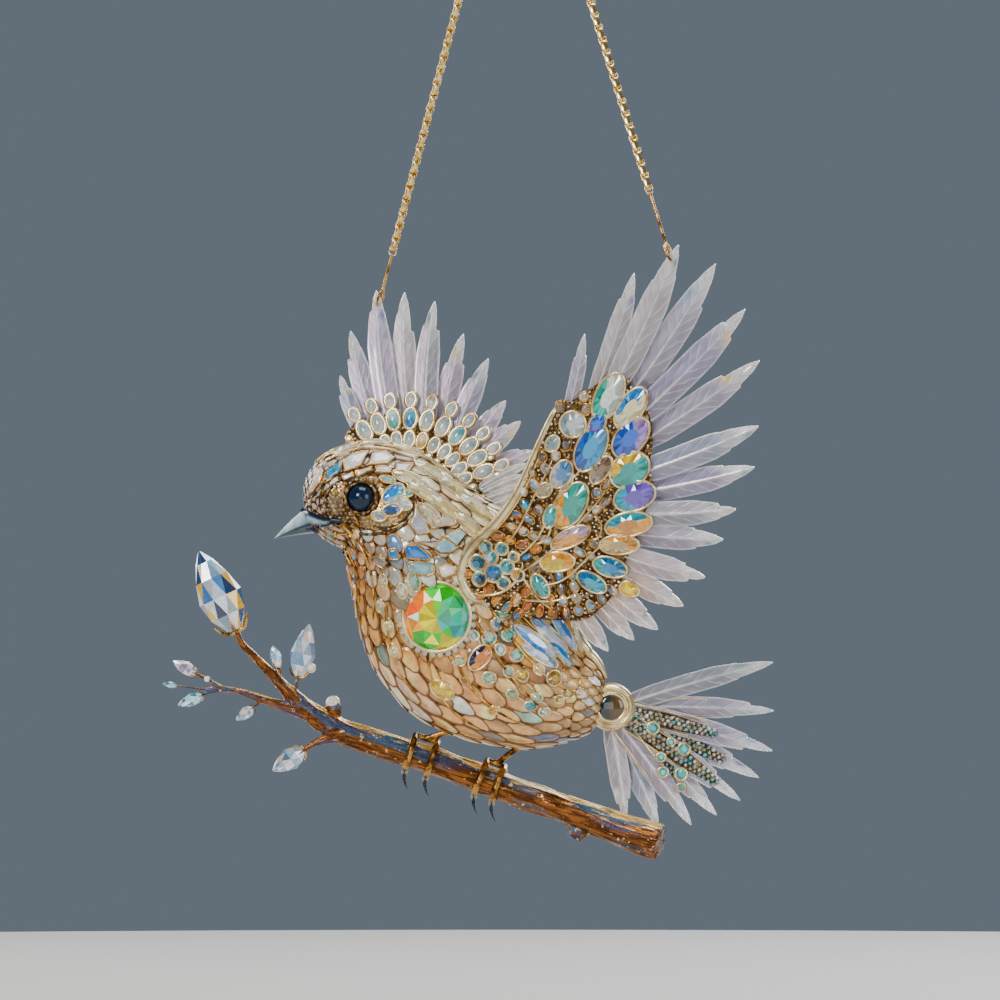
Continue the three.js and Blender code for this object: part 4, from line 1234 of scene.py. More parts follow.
BEAD = dome_shape(6, 3, 0.3)
BEAD_TONES = colours("#d9b272", "#c09456", "#f0e0b8", "#a37a48", "#e9e0cf", "#cfcac4", "#957048")
near_taken = np.array([row[:5] for row in NEAR_OVALS] + [(x, z, r, r, 0) for x, z, r, _ in SHOULDER_STONES], float)
WARM = ["#a86a30", "#c98a3f", "#8a6a50", "#e0a850", "#b5703a", "#f0dcc0", "#7f5230", "#d9a66a", "#3f96b0", "#2f7fae"]
GREYS = colours("#8f8a86", "#b5b0aa", "#6f6a6c", "#d9d6d0", "#8fa3b5", "#a5937c", "#5a5350", "#eceae4")
near_arcs = ((58, 60), np.arange(12, 190, 12), 12.6, (-110, 250))
placed = fill_wing("near", *near_arcs, near_taken, colours(*WARM), (6.6, 4.5), GREYS)
print(placed, "small stones and beads on each face of the near wing")

# %% [markdown]
# Round blue stones mark the shoulder. The oval helper makes them too, with equal halves.

# %% The shoulder's round stones
SHOULDER_DARK = ["#1f5f70", "#2f8f96", "#123f55"]
shoulder = [(x, z, r, r, 15 * i, code, SHOULDER_DARK[i % 3]) for i, (x, z, r, code) in enumerate(SHOULDER_STONES)]
oval_pieces("shoulder", near_face, shoulder, 0.0024, wire=0.0006)
print(len(shoulder), "round stones at the shoulder")

# %% [markdown]
# Cast ridges edge the wings, with filigree between. A bevelled curve would stay round, so a tube is
# squashed along the wing's normal.


# %% Ridges along both wings
def ridge_shape(key, drawn, wide, high):
    """A squashed tube through the plane, so that it shows on both faces."""
    line = smooth_line(on_plane(key, *np.array(drawn, float).T), 60)
    s = np.linspace(0, 1, 60)
    radius = wide * np.interp(s, [0, 0.12, 0.5, 0.9, 1], [0.5, 1, 0.9, 0.55, 0.2])
    normal = PLANES[key][1]
    return squashed(line, radius, normal, high / wide, 12)


# Half-width, half-depth and drawn places of each ridge
LEADING = [(-8, -3), (-28, 8), (-36, 28), (-29, 51), (-3, 77), (19, 109), (37, 149), (52, 182), (62, 197)]
RIDGES = {
    "near_leading_ridge": (0.0021, 0.0047, LEADING),
    "near_inner_ridge": (0.0006, 0.0038, [(-12, 62), (8, 84), (26, 112), (41, 146), (54, 176), (66, 190)]),
    "near_collar_ridge": (0.0009, 0.0044, [(-30, 12), (-14, 8), (6, 12), (22, 28), (22, 48), (6, 62)]),
    "near_lower_ridge": (0.0008, 0.0038, [(22, 30), (40, 4), (62, -8), (92, 2)]),
    "far_leading_ridge": (0.0012, 0.0040, [(-150, 150), (-136, 118), (-108, 76), (-60, 70), (-14, 100)]),
}
for name, (wide, high, drawn) in RIDGES.items():
    add_piece(name, ridge_shape(name.split("_")[0], drawn, wide, high), PALE_GILT)

FILIGREE = [
    [(0, 46), (20, 74), (34, 102), (50, 134), (64, 166), (84, 192)],
    [(14, 40), (40, 66), (58, 104), (78, 128), (104, 158), (118, 180)],
    [(20, 28), (50, 50), (84, 84), (106, 112), (116, 146)],
    [(24, 16), (62, 22), (92, 48), (112, 68), (118, 92)],
    [(20, 4), (50, 2), (78, 8), (100, 20)],
    [(34, 58), (46, 62), (52, 74), (46, 84), (36, 80)],
    [(56, 112), (68, 112), (74, 124), (70, 140), (58, 142)],
    [(90, 62), (100, 66), (102, 78), (94, 86), (84, 80)],
]
filigree = join([ridge_shape("near", drawn, 0.0007, 0.0043) for drawn in FILIGREE])
add_piece("near_filigree", filigree, PALE_GILT)
print(len(RIDGES), "ridges and", len(FILIGREE), "filigree lines")

# %% [markdown]
# Cream loops fan out in three rows. One list of angles places all of them, and four have colours of
# their own.

# %% The far wing's loops
FAR_TONES = colours("#e9e2cb", "#cfd8d0", "#f0ead8", "#9fc8c8", "#d9c69a")
FAR_HUB = (-93, 100)
far_loops = []
for angle in (122, 111, 100, 88, 76, 64, 52, 41, 30.5, 20):
    way = np.radians(angle)
    for reach, half, wide in ((82, 11, 6.8), (61, 8.5, 5.4), (101, 7.5, 5.2)):
        x, z = FAR_HUB[0] + reach * np.cos(way), FAR_HUB[1] + reach * np.sin(way)
        far_loops.append((x, z, half, wide, angle, "#c9cfc9", "#8fa6ac"))
# Four loops have colours of their own, by their number in the list
OWN_TONES = {9: "#1f77b0 #4fb0cc", 6: "#3fa09a #a6d8cc", 18: "#9fdcdc #4fa0a6", 13: "#e0b04f #f0e2b8"}
for index, pair in OWN_TONES.items():
    far_loops[index] = (*far_loops[index][:5], *pair.split())

oval_pieces("far_loop", partial(wing_face, "far"), far_loops, 0.0012, cut=False, wire=0.00065)
far_taken = np.array([row[:5] for row in far_loops], float)
placed = fill_wing("far", FAR_HUB, np.arange(4, 112, 9), 9, (-40, 210), far_taken, FAR_TONES, (4.6, 3.2))
print(placed, "small stones on each face of the far wing")

# %% [markdown]
# Short white feathers close the gap between the wings. They have no solid to fit, so the blade gets
# a frame from two drawn points.

# %% White coverts between the wings
# Root, tip and half-width of each covert
COVERTS = [((-20, 112), (29, 137), 5.5), ((-17, 107), (31, 126), 5.5)]
COVERTS += [((-13, 101), (28, 114), 5.5), ((-9, 95), (19, 102), 5)]
made = []
for index, (start, end, half) in enumerate(COVERTS):
    root, tip = on_plane("far", *np.array([start, end], float).T, 0.0034 + 0.0005 * index)
    long_way, length = unit(tip - root), np.linalg.norm(tip - root)
    normal = PLANES["far"][1]
    fit = {"middle": (root + tip) / 2, "long": long_way, "across": np.cross(normal, long_way)}
    fit |= {"from": -length / 2, "to": length / 2, "bend": [-5.0, 0.0, 1.25 * length**2], "half": half * GRID}
    made.append(blade(fit, normal, (hex_colour("#e4dfd6"), EDGE_TONE, hex_colour("#f4f4f4")), 0.0, 0.0012))
covert_shape = join([(points, blade_faces()) for points, _, _ in made])
shades, places = (np.concatenate([item[k] for item in made]) for k in (1, 2))
add_piece("far_coverts", covert_shape, FEATHER, tint=shades, uv=places)
print(len(COVERTS), "coverts")

# %% [markdown]
# ## Breast gems
# A large round glass gem sits on each side of the breast. One facet pattern could be bought from a
# gem library, but rows of zigzag corners that close near the middle give slanting facets like these.


# %% Breast gems
def gem_frame(name):
    """Middle, outward normal, radius and height of a gem, from its solid's corners."""
    corners = solid_points(name)
    centre = corners.mean(0)
    spread = np.linalg.svd(corners - centre, full_matrices=False)[2]
    normal = spread[2]
    if normal[1] * centre[1] < 0:
        normal = -normal
    radius = np.linalg.norm((corners - centre) - ((corners - centre) @ normal)[:, None] * normal, axis=1).max()
    top = ((corners - centre) @ normal).max()
    return centre, normal, radius, top


def gem_rows(segments=11):
    """A brilliant of radius 1 whose crown rises in two zigzag rows to one point beside its middle."""
    angle = circle(segments)
    half = angle + np.pi / segments
    rows = [(0.97, -0.6, angle), (1, 0, angle), (0.84, 0.5, half), (0.5, 0.86, angle)]
    points = np.concatenate([np.stack([r * np.cos(a), r * np.sin(a), np.full(segments, z)], -1) for r, z, a in rows])
    points = np.concatenate([points, [[0.08, -0.05, 1.0]]])
    n, i = segments, np.arange(segments)
    j = (i + 1) % n
    blocks = [
        lattice(2, n, wrap=True),
        np.stack([n + i, n + j, 2 * n + i], -1),
        np.stack([n + j, 2 * n + j, 2 * n + i], -1),
        np.stack([3 * n + i, 2 * n + i, 3 * n + j], -1),
        np.stack([3 * n + j, 2 * n + i, 2 * n + j], -1),
        np.stack([3 * n + i, 3 * n + j, np.full(n, 4 * n)], -1),
        i[::-1][None],
    ]
    return points, blocks


GEM_SHAPE = gem_rows()


def dress_gem(name):
    """Facets coloured by their angle round the gem, with a few pale facets as painted highlights, a bezel of wire, and
    beads round it.
    """
    centre, normal, radius, top = gem_frame(name)
    slope = np.array([0.0])
    long_way, across = frames_on(centre[None], normal[None], slope)
    base = centre + normal * (top - 0.0034)
    axes = np.stack([long_way[0] * radius, across[0] * radius, normal * 0.0032])[None]
    shape = scatter(GEM_SHAPE, base[None], axes)
    face_middles = np.concatenate([shape[0][block].mean(1) for block in shape[1]])
    off = (face_middles - centre) / radius
    away = np.hypot(off[:, 0], off[:, 2])
    turn = (np.degrees(np.arctan2(off[:, 2], off[:, 0])) + rng.normal(0, 9, len(off))) % 360
    wheel = colours("#13a88c", "#0d9a6a", "#2fc25a", "#e8a06a", "#f0923f", "#f4b81f", "#35a85a", "#f2e21f", "#1f9f9a")
    inner = colours("#16b58a", "#1fc08f", "#8fd83a", "#f2d81f", "#f6e83a", "#f8ee3f", "#e8e21f", "#5fd24f", "#12b0a0")
    pick = np.interp(turn, [0, 40, 80, 125, 170, 205, 240, 285, 340], np.arange(9)).round().astype(int)
    shade = np.where((away < 0.62)[:, None], inner[pick], wheel[pick]) * rng.uniform(0.32, 0.85, (len(pick), 1))
    # A few facets are painted pale green-white: painted highlights.
    shade = np.where(rng.random((len(pick), 1)) < 0.04, [[0.75, 0.95, 0.85]], shade)
    strong = vivid(per_face(shape, shade), 2.1)
    add_piece(name + "_cut", shape, GEM_GLASS, tint=strong, smooth=False, hides=[name])
    bezel = np.array([radius * 1.02])
    ring = rings_on(base[None], normal[None], bezel, bezel, slope, 0.0007, 0.0004, 48, 8)
    beads = np.radians(np.arange(0, 360, 12.0))
    spots = base + radius * 1.12 * (np.cos(beads)[:, None] * long_way + np.sin(beads)[:, None] * across)
    size = np.full(len(spots), 0.0010)
    outward = np.broadcast_to(normal, spots.shape)
    pearls = stones_on(spots, outward, size, size, np.zeros(len(spots)), size * 1.2, DOME)
    add_piece(name + "_ring", ring, PALE_GILT)
    add_piece(name + "_beads", pearls, STONE, tint=np.tile(hex_colour("#b9b49a"), (len(pearls[0]), 1)))


dress_gem("breast_gem_near")
dress_gem("breast_gem_far")
print("each breast gem has", sum(len(block) for block in GEM_SHAPE[1]), "facets")


# %% [markdown]
# Each eye is a ball of dark glass. An icosphere has uneven faces, so rings round the depth axis are
# used.


# %% Eyes
def ball(centre, radius, rings=16, segments=28):
    """Points at centre + radius * (sin b cos a, cos b, sin b sin a)."""
    b = np.linspace(0.02, np.pi - 0.02, rings)[:, None]
    a = circle(segments)[None]
    points = np.stack([np.sin(b) * np.cos(a), np.cos(b) * np.ones_like(a), np.sin(b) * np.sin(a)], -1).reshape(-1, 3)
    caps = [np.arange(segments)[::-1][None], (np.arange(segments) + (rings - 1) * segments)[None]]
    return centre + radius * points, [lattice(rings, segments, wrap=True), *caps]


EYE_RADIUS = 0.0041
for name in ("eye_near", "eye_far"):
    corners = solid_points(name)
    centre = (corners.max(0) + corners.min(0)) / 2
    add_piece(name + "_ball", ball(centre, EYE_RADIUS), DARK, hides=[name])
print("the eyes are", round(2 * EYE_RADIUS / MM, 1), "mm across")


# %% [markdown]
# Tiny stones between dark wires surround the eye. Straight rows leave gaps, so the spots form a
# honeycomb.


# %% Eye patch
def patch_on_body(side):
    """One wire ring round the eye and two oval ones round its patch."""
    wires = []
    for centre, long_half, wide_half, slope, wire in (
        (EYE, 16.5, 16.5, 0, 0.0007),
        (EYE_PATCH, 48, 32, -4, 0.0006),
        (EYE_PATCH, 43, 27, -4, 0.00035),
    ):
        w = np.linspace(0, 2 * np.pi, 72, endpoint=False)
        tilt = np.radians(slope)
        x = centre[0] + long_half * np.cos(w) * np.cos(tilt) - wide_half * np.sin(w) * np.sin(tilt)
        z = centre[1] + long_half * np.cos(w) * np.sin(tilt) + wide_half * np.sin(w) * np.cos(tilt)
        points, normals = skin_at(x, z, side)
        wires.append(tube(points + normals * 0.0005, wire, 6, closed=True, facing=normals))
    return join(wires)


def pave_on_body(x, z, side, radius, palette):
    """Tiny cut stones at grid places on one side of the body."""
    points, normals = skin_at(x, z, side)
    count = len(points)
    size = radius * rng.uniform(0.8, 1.15, count)
    first, second = palette[rng.integers(0, len(palette), (2, count))]
    return cut_stones(points, normals, size, size, rng.uniform(0, 90, count), size * 0.9, first, second, 6)


hexes = np.array([(a * 4.3 + (b % 2) * 2.15, b * 3.8) for a in range(-11, 12) for b in range(-9, 10)])
hexes = hexes[np.hypot(hexes[:, 0] / 46, hexes[:, 1] / 30) < 1] + np.array(EYE_PATCH)
hexes = hexes[np.hypot(hexes[:, 0] - EYE[0], hexes[:, 1] - EYE[1]) > 18]
BIG_EYE_STONES = [
    (-106, 106, 13, 8, 40, "#3f8fc0", "#9fd3e0"),
    (-96, 96, 9, 6, -30, "#f0efe8", "#cfd6d8"),
    (-107, 90, 10, 6, 10, "#22324f", "#6f7fa6"),
    (-120, 84, 8, 5, -10, "#e9e6dc", "#b8c4c6"),
    (-112, 120, 8, 4, -15, "#bcd3cf", "#e6e6da"),
    (-90, 108, 7, 4, 60, "#7fb6b4", "#dfe6e0"),
]
taken = np.array([row[:5] for row in BIG_EYE_STONES], float)
hexes = hexes[clear_of(np.column_stack([hexes, np.zeros(len(hexes))]), taken, 2.5)]
SILVER = colours("#b3ad9c", "#8a8272", "#dcd8cc", "#8f8466", "#b9b9b4", "#6f6252", "#85827f")
made = [pave_on_body(hexes[:, 0], hexes[:, 1], side, 0.00062, SILVER) for side in (1, -1)]
shades = np.concatenate([shade for _, shade in made])
add_piece("eye_patch_pave", join([shape for shape, _ in made]), CUT, tint=shades, smooth=False)
add_piece("eye_patch_wires", join([patch_on_body(1), patch_on_body(-1)]), ANTIQUE)


def body_face(lift):
    """Gives the function that finds places raised by lift over the body's skin."""

    def face(x, z, side):
        points, normals = skin_at(x, z, side)
        return points + normals * lift, normals

    return face


oval_pieces("eye_patch", body_face(0.0004), BIG_EYE_STONES, 0.0011)
print(len(hexes), "tiny stones in each eye patch")

# %% [markdown]
# Single stones sit among the tiles. They are raised along the skin's normals, so they lean with the
# body and don't sink in.

# %% Stones on the body
BODY_STONES = [
    (-85, 20, 11, 6, -80, "#8fae9f", "#c4cfbd"),
    (-97, 10, 8, 5, -80, "#cfd3c0", "#e6e3cf"),
    (-115, 20, 7, 4, -80, "#d8d0b0", "#bda878"),
    (-118, -5, 7, 4.5, -85, "#d3cba8", "#e9e0c4"),
    (-110, -25, 9, 5, -80, "#d9cfae", "#bfae86"),
    (-105, -50, 9, 5, -75, "#e0d6b8", "#c9b283"),
    (-13, 0, 9, 8, 0, "#4fa39a", "#bfe0d6"),
    (3, -12, 8, 6, 0, "#5fae9f", "#a6cfc0"),
    (-11, -37, 7, 7, 0, "#5fae9f", "#cfe6dc"),
    (8, -34, 7, 6, 0, "#4f9d94", "#8cc4b8"),
    (16, -54, 7, 6, 0, "#68a79a", "#b8d6c8"),
    (-11, -76, 7, 6, 0, "#cfd8c9", "#9fb8a8"),
    (22, -74, 6, 6, 0, "#e6c987", "#8a6a3c"),
    (53, -77, 8, 8, 0, "#b89a5c", "#7f6a44"),
    (36, -96, 6, 5, 0, "#7fa69a", "#c4cfb8"),
    (-20, -56, 15, 9, 52, "#2f2a4a", "#e6a032"),
    (-57, -88, 13, 9, -35, "#f0c04a", "#f6dc8a"),
    (-40, -60, 6, 5, 0, "#cfd6b8", "#e6e6cf"),
    (30, -104, 7, 5, 10, "#4f8fa0", "#86b8b8"),
    (12, -92, 6, 5, 0, "#86a694", "#cfd6bd"),
    (66, -92, 6, 5, 0, "#bfae86", "#d9cfae"),
    (-30, 30, 8, 6, 30, "#dfe3d8", "#bfcfc6"),
    (-4, -24, 6, 5, -50, "#7f8fa0", "#dfe6e6"),
    (-26, -34, 6, 4.5, -50, "#cfe0da", "#8fb0ae"),
    (0, -48, 6, 5, -60, "#9fb8bd", "#e6ece6"),
    (8, -70, 6, 5, -55, "#8fa6a0", "#e0e6d8"),
    (38, -68, 6, 5, -40, "#c9b78f", "#efe2c0"),
    (44, -110, 6, 4.5, 0, "#7f9aa0", "#cfd8d0"),
    (58, -98, 5, 4, 0, "#b39a6a", "#e6d6ae"),
    (-34, -78, 6, 4.5, -40, "#a9742f", "#f0c878"),
    (-6, -108, 6, 4.5, 20, "#c99a5a", "#f0d8a8"),
    (-2, -20, 4, 4, 0, "#2f8f96", "#bfe0dc"),
    (14, -28, 4, 4, 0, "#4f7f9f", "#cfe0e6"),
]
oval_pieces("body", body_face(0.0004), BODY_STONES, 0.0013)
print(len(BODY_STONES), "larger stones on each side of the body")


# %% [markdown]
# Long cream leaves run over crown and nape. Tiles are too short for them, so they are oval stones
# raised over the tiles.

# %% Cream leaves on the crown, nape and back
NAPE_LEAVES = [
    (-152, 147, 15, 3.5, 24, "#f0e6c8", "#fbf7ea"),
    (-124, 153, 15, 3.5, 2, "#fbfaf2", "#efe0b8"),
    (-94, 147, 17, 4.5, -16, "#f6eed2", "#fbf7ea"),
    (-70, 126, 21, 8, -32, "#fbf6e4", "#e9dcb4"),
    (-76, 106, 20, 7, -30, "#efe6c4", "#fbf7ea"),
    (-48, 110, 23, 8, -36, "#fbf7ea", "#f0e2b8"),
    (-54, 90, 21, 7, -38, "#f0e2b8", "#fbf3d6"),
    (-27, 92, 24, 8, -40, "#fbf7ea", "#efe3c0"),
    (-32, 74, 20, 6.5, -44, "#f6eed2", "#d9cba4"),
    (-92, 120, 17, 6.5, -18, "#e6dcc0", "#f6f0dc"),
    (-72, 84, 15, 6, -48, "#d3ccb4", "#f0ead4"),
]
oval_pieces("nape_leaf", body_face(0.0011), NAPE_LEAVES, 0.0014, wire=0.0004)
print(len(NAPE_LEAVES), "leaves on each side of the head and back")

# %% [markdown]
# Straight-edged enamel plates. Cutting them with booleans often fails, so each outline is laid on
# the map, bevelled and wired.

# %% Flat plates on the crown, cheek and neck
HEAD_PLATES = [
    ("#2f9ac8", (-171, 127), (-156, 138), (-157, 127), (-171, 117)),
    ("#f6f6f4", (-155, 138), (-144, 144), (-130, 146), (-138, 132), (-154, 126)),
    ("#fbf9f0", (-128, 144), (-114, 146), (-105, 139), (-113, 134), (-131, 133)),
    ("#d6d3dc", (-105, 134), (-86, 134), (-94, 124), (-105, 126)),
    ("#f2efe8", (-158, 122), (-146, 126), (-144, 123), (-154, 118)),
    ("#e9e4da", (-144, 127), (-128, 131), (-127, 128), (-142, 123)),
    ("#f4f0e2", (-124, 131), (-108, 130), (-109, 125), (-124, 126)),
    ("#e8dcd6", (-175, 132), (-173, 127), (-177, 117), (-184, 106), (-188, 108), (-182, 122)),
    ("#b9bac6", (-85, 97), (-78, 89), (-70, 67), (-82, 65), (-91, 76), (-86, 84)),
    ("#c9bdb4", (-75, 78), (-56, 82), (-47, 83), (-44, 74), (-68, 70)),
    ("#9fd3e0", (-56, 63), (-41, 70), (-34, 65), (-43, 53)),
    ("#8cc8dc", (-65, 51), (-57, 62), (-42, 52), (-48, 47), (-60, 47)),
    ("#2f86c0", (-110, 51), (-103, 52), (-98, 44), (-100, 41), (-108, 41)),
    ("#1f78c9", (-93, 54), (-82, 55), (-68, 43), (-71, 40), (-91, 42), (-94, 48)),
    ("#7fb0bd", (-92, 38), (-79, 39), (-66, 36), (-65, 28), (-72, 25), (-88, 28)),
    ("#eceaec", (-60, 31), (-54, 36), (-44, 34), (-44, 26), (-57, 24)),
    ("#bdb4b6", (-82, 58), (-68, 57), (-59, 59), (-66, 51)),
    ("#8f8478", (-126, 44), (-117, 46), (-109, 38), (-114, 32), (-124, 38)),
]


def plate_on(corners, side):
    """A thin plate with a bevelled edge, straight from corner to corner, and the wire round it."""
    drawn = np.array(corners, float)
    after = np.roll(drawn, -1, 0)
    turn = np.sum(drawn[:, 0] * after[:, 1] - drawn[:, 1] * after[:, 0])
    drawn = drawn[:: int(np.sign(turn)) * side]
    share = np.linspace(0, 1, 6, endpoint=False)[:, None]
    outline = np.concatenate([a + share * (b - a) for a, b in zip(drawn, np.roll(drawn, -1, 0))])
    centre = outline.mean(0)
    loops = []
    for size, lift in ((1.0, -0.0006), (1.0, 0.0011), (0.92, 0.0015), (0.5, 0.0016), (0.05, 0.0016)):
        spots, normals = skin_at(*(centre + size * (outline - centre)).T, side)
        loops.append(spots + lift * normals)
    count = len(outline)
    caps = [np.arange(count)[::-1][None], (np.arange(count) + 4 * count)[None]]
    wire = tube(loops[1] + 0.0002 * normals, 0.00032, 6, closed=True, facing=normals)
    return (np.concatenate(loops), [lattice(5, count, wrap=True), *caps]), wire


made = [(plate_on(corners, side), hex_colour(shade)) for shade, *corners in HEAD_PLATES for side in (1, -1)]
shades = np.concatenate([np.tile(shade[:3], (len(plate[0]), 1)) for (plate, _), shade in made])
add_piece("head_plates", join([plate for (plate, _), _ in made]), TILE, tint=shades)
add_piece("head_plate_wires", join([wire for (_, wire), _ in made]), GILT)
print(len(HEAD_PLATES), "plates on each side of the head")

# %% [markdown]
# Narrow glass blades overlap on the flank. Feathers have no facets, so cut stones are stretched.

# %% Long glass blades on the flank
FLANK_BLADES = [
    (34, -40, 27, 7, -34, "#6f9fe0", "#e6eefa"),
    (47, -34, 28, 7, -38, "#a9bfe6", "#f2f4fa"),
    (60, -30, 26, 6.5, -43, "#c9cfe6", "#8fb0de"),
    (38, -54, 22, 6, -30, "#8fa9c9", "#e6e6ee"),
    (72, -36, 22, 5.5, -50, "#d8c9b0", "#f2ead8"),
    (58, -52, 20, 5, -40, "#b9c9d8", "#5f8fc4"),
]
oval_pieces("flank_blade", body_face(0.0010), FLANK_BLADES, 0.0016, wire=0.0003)
print(len(FLANK_BLADES), "glass blades on each flank")


# %% [markdown]
# Strands follow nape and throat, and wires divide the breast. Those along the body are drawn on the
# map, those across it on the grid.


# %% Cast strands on the nape, throat and rump
def strand(t, turn, radius, lift):
    """A tube on the body through points of the map, and its mirror image on the far side."""
    drawn = smooth_line(np.stack([t, turn], -1), 48)
    made = []
    for path in (drawn[:, 1], 0.5 - drawn[:, 1]):
        line = on_body(drawn[:, 0], path, np.full(48, lift))
        width = radius * np.sin(np.pi * np.linspace(0.06, 0.97, 48)) ** 0.5
        made.append(tube(line, width, 7, facing=sample(SKIN_NORMAL, drawn[:, 0], path)))
    return made


def t_at(x):
    """The map's t whose middle line passes grid place x."""
    line_x = (STARTS[:, 0] - MIDDLE[0]) / GRID
    spine = slice(len(BROW_FAN) - 1, len(BROW_FAN) + len(SPINE))
    return np.interp(x, line_x[spine], np.linspace(0, 1, len(STARTS))[spine])


def skin_wire(drawn, radius, lift=0.001):
    """A thin wire on each side of the body through grid places."""
    made = []
    for side in (1, -1):
        spots, normals = skin_at(*np.array(drawn, float).T, side)
        line = smooth_line(np.concatenate([spots + lift * normals, normals], 1), 60)
        made.append(tube(line[:, :3], radius * np.linspace(1.2, 0.5, 60), 6, facing=unit(line[:, 3:])))
    return made


nape, throat = [], []
for k in range(3):
    turn = 0.235 - 0.032 * k
    turns = [turn, turn + 0.004, turn + 0.012 + 0.003 * k, turn + 0.03]
    nape += strand([0.1 + 0.01 * k, 0.2, 0.34, 0.5], turns, 0.00052, 0.0012)
for k in range(5):
    turn = 0.80 + 0.035 * k
    turns = [turn, turn + 0.006, turn - 0.004, turn - 0.02]
    throat += strand([0.14, 0.22, 0.33, 0.46 - 0.02 * k], turns, 0.0004, 0.0011)
brow = skin_wire([(-190, 84), (-182, 106), (-165, 123), (-140, 131), (-112, 129), (-88, 115), (-76, 94)], 0.0005)
FLANK_WIRES = [
    [(-30, -10), (-16, -34), (4, -66), (30, -96), (48, -112)],
    [(-18, 6), (2, -24), (26, -56), (56, -84), (78, -94)],
    [(8, 8), (24, -18), (48, -44), (70, -76)],
    [(-44, -56), (-30, -84), (-4, -108), (24, -122)],
    [(-72, -52), (-64, -84), (-42, -112), (-14, -128)],
    [(-112, -4), (-108, -40), (-96, -74), (-72, -104)],
    [(-155, 76), (-141, 60), (-130, 40), (-124, 12), (-124, -18)],
    [(-164, 70), (-150, 52), (-143, 38), (-138, 12), (-136, -24)],
    [(-143, 70), (-134, 54), (-122, 38), (-114, 24)],
]
gape = skin_wire([(-193, 90), (-187, 87.5), (-177, 83.5), (-167, 81.5), (-157, 81)], 0.0008, 0.0011)
gape += skin_wire([(-188, 73), (-178, 75.5), (-168, 78), (-157, 81)], 0.00045, 0.0012)
add_piece("gape_line", join(gape), DARK)
flank_wires = [wire for drawn in FLANK_WIRES for wire in skin_wire(drawn, 0.00052)]
rump = strand([t_at(46), t_at(60), t_at(76), 0.95], [0.2, 0.21, 0.222, 0.235], 0.0019, 0.0009)
add_piece("nape_strands", join(nape), PALE_GILT)
add_piece("throat_strands", join(throat), GILT)
add_piece("brow_line", join(brow), ANTIQUE)
add_piece("rump_ridge", join(rump), PALE_GILT)
add_piece("flank_wires", join(flank_wires), GILT)
print(len(nape + throat + brow + gape + rump + flank_wires), "strands and wires on the body")

# %% [markdown]
# ## Cast pieces
# Branch, feet and hooks are cast or bent metal. Their solids meet in sharp seams, and bevels fail
# there, so an even skin is laid over each solid, relaxed, and then shaped where it has bark.


# %% Remade solids
def reskin(name, label, cell, smoothing, material, finish=None):
    source = nodes[name]
    mesh = source.data.copy()
    mesh.transform(source.matrix_world)
    mesh.materials.clear()
    piece = new_object(label, mesh)
    skin = piece.modifiers.new("skin", "REMESH")
    skin.mode = "VOXEL"
    skin.voxel_size = cell
    skin.use_smooth_shade = True
    relax = piece.modifiers.new("relax", "SMOOTH")
    relax.iterations = smoothing
    relax.factor = 0.5
    graph = bpy.context.evaluated_depsgraph_get()
    done = bpy.data.meshes.new_from_object(piece.evaluated_get(graph))
    piece.modifiers.clear()
    piece.data = done
    done.materials.append(material)
    if finish:
        count = len(done.vertices)
        points, normals = np.empty(count * 3, np.float32), np.empty(count * 3, np.float32)
        done.vertices.foreach_get("co", points)
        done.vertex_normals.foreach_get("vector", normals)
        points, layers = finish(points.reshape(-1, 3).astype(float), normals.reshape(-1, 3).astype(float))
        points = np.clip(points, *size_before)
        done.vertices.foreach_set("co", points.astype(np.float32).ravel())
        for key, values in layers.items():
            kind, field = ("FLOAT_VECTOR", "vector") if values.ndim == 2 else ("FLOAT", "value")
            done.attributes.new(key, kind, "POINT").data.foreach_set(field, values.astype(np.float32).ravel())
        done.update()
    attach(piece, "root")
    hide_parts(name)
    return piece


print("the branch's solid has", len(nodes["branch"].data.polygons), "flat faces")

# %% [markdown]
# Cast bark has ridges along its grain. Displacement by a texture ignores the grain, so each point
# is moved by waves along the nearest part of the drawn limb.

# %% The branch's grain
LIMB = [(160, -241), (120, -229), (75, -212), (42, -201), (0, -186), (-35, -173), (-70, -160), (-115, -146)]
LIMB += [(-160, -131), (-186, -115), (-206, -98), (-225, -78), (-240, -62), (-257, -46), (-264, -31)]
TWIGS = [
    [(-196, -112), (-230, -102), (-255, -93), (-278, -88), (-292, -80), (-304, -73)],
    [(-278, -88), (-300, -89), (-322, -86)],
    [(-164, -136), (-184, -142), (-196, -150)],
]
PATHS = [smooth_line(place(*np.array(path, float).T), 160 if i == 0 else 50) for i, path in enumerate([LIMB, *TWIGS])]
PATHS[0][:, 1] = (1 - 0.00022 * np.maximum((PATHS[0][:, 0] - MIDDLE[0]) / GRID + 60, 0) ** 2) * MM
WOOD = np.concatenate(PATHS)
WOOD_RUN = np.concatenate([unit(np.gradient(path, axis=0)) for path in PATHS])
WOOD_ALONG = np.concatenate([np.arange(len(path)) * np.linalg.norm(path[1] - path[0]) / MM for path in PATHS])


def nearest_wood(points):
    """Index of the nearest point of the drawn lines, in portions so that the table stays small."""
    parts = np.array_split(points, max(1, len(points) // 4000))
    return np.concatenate([((part[:, None] - WOOD[None]) ** 2).sum(-1).argmin(1) for part in parts])


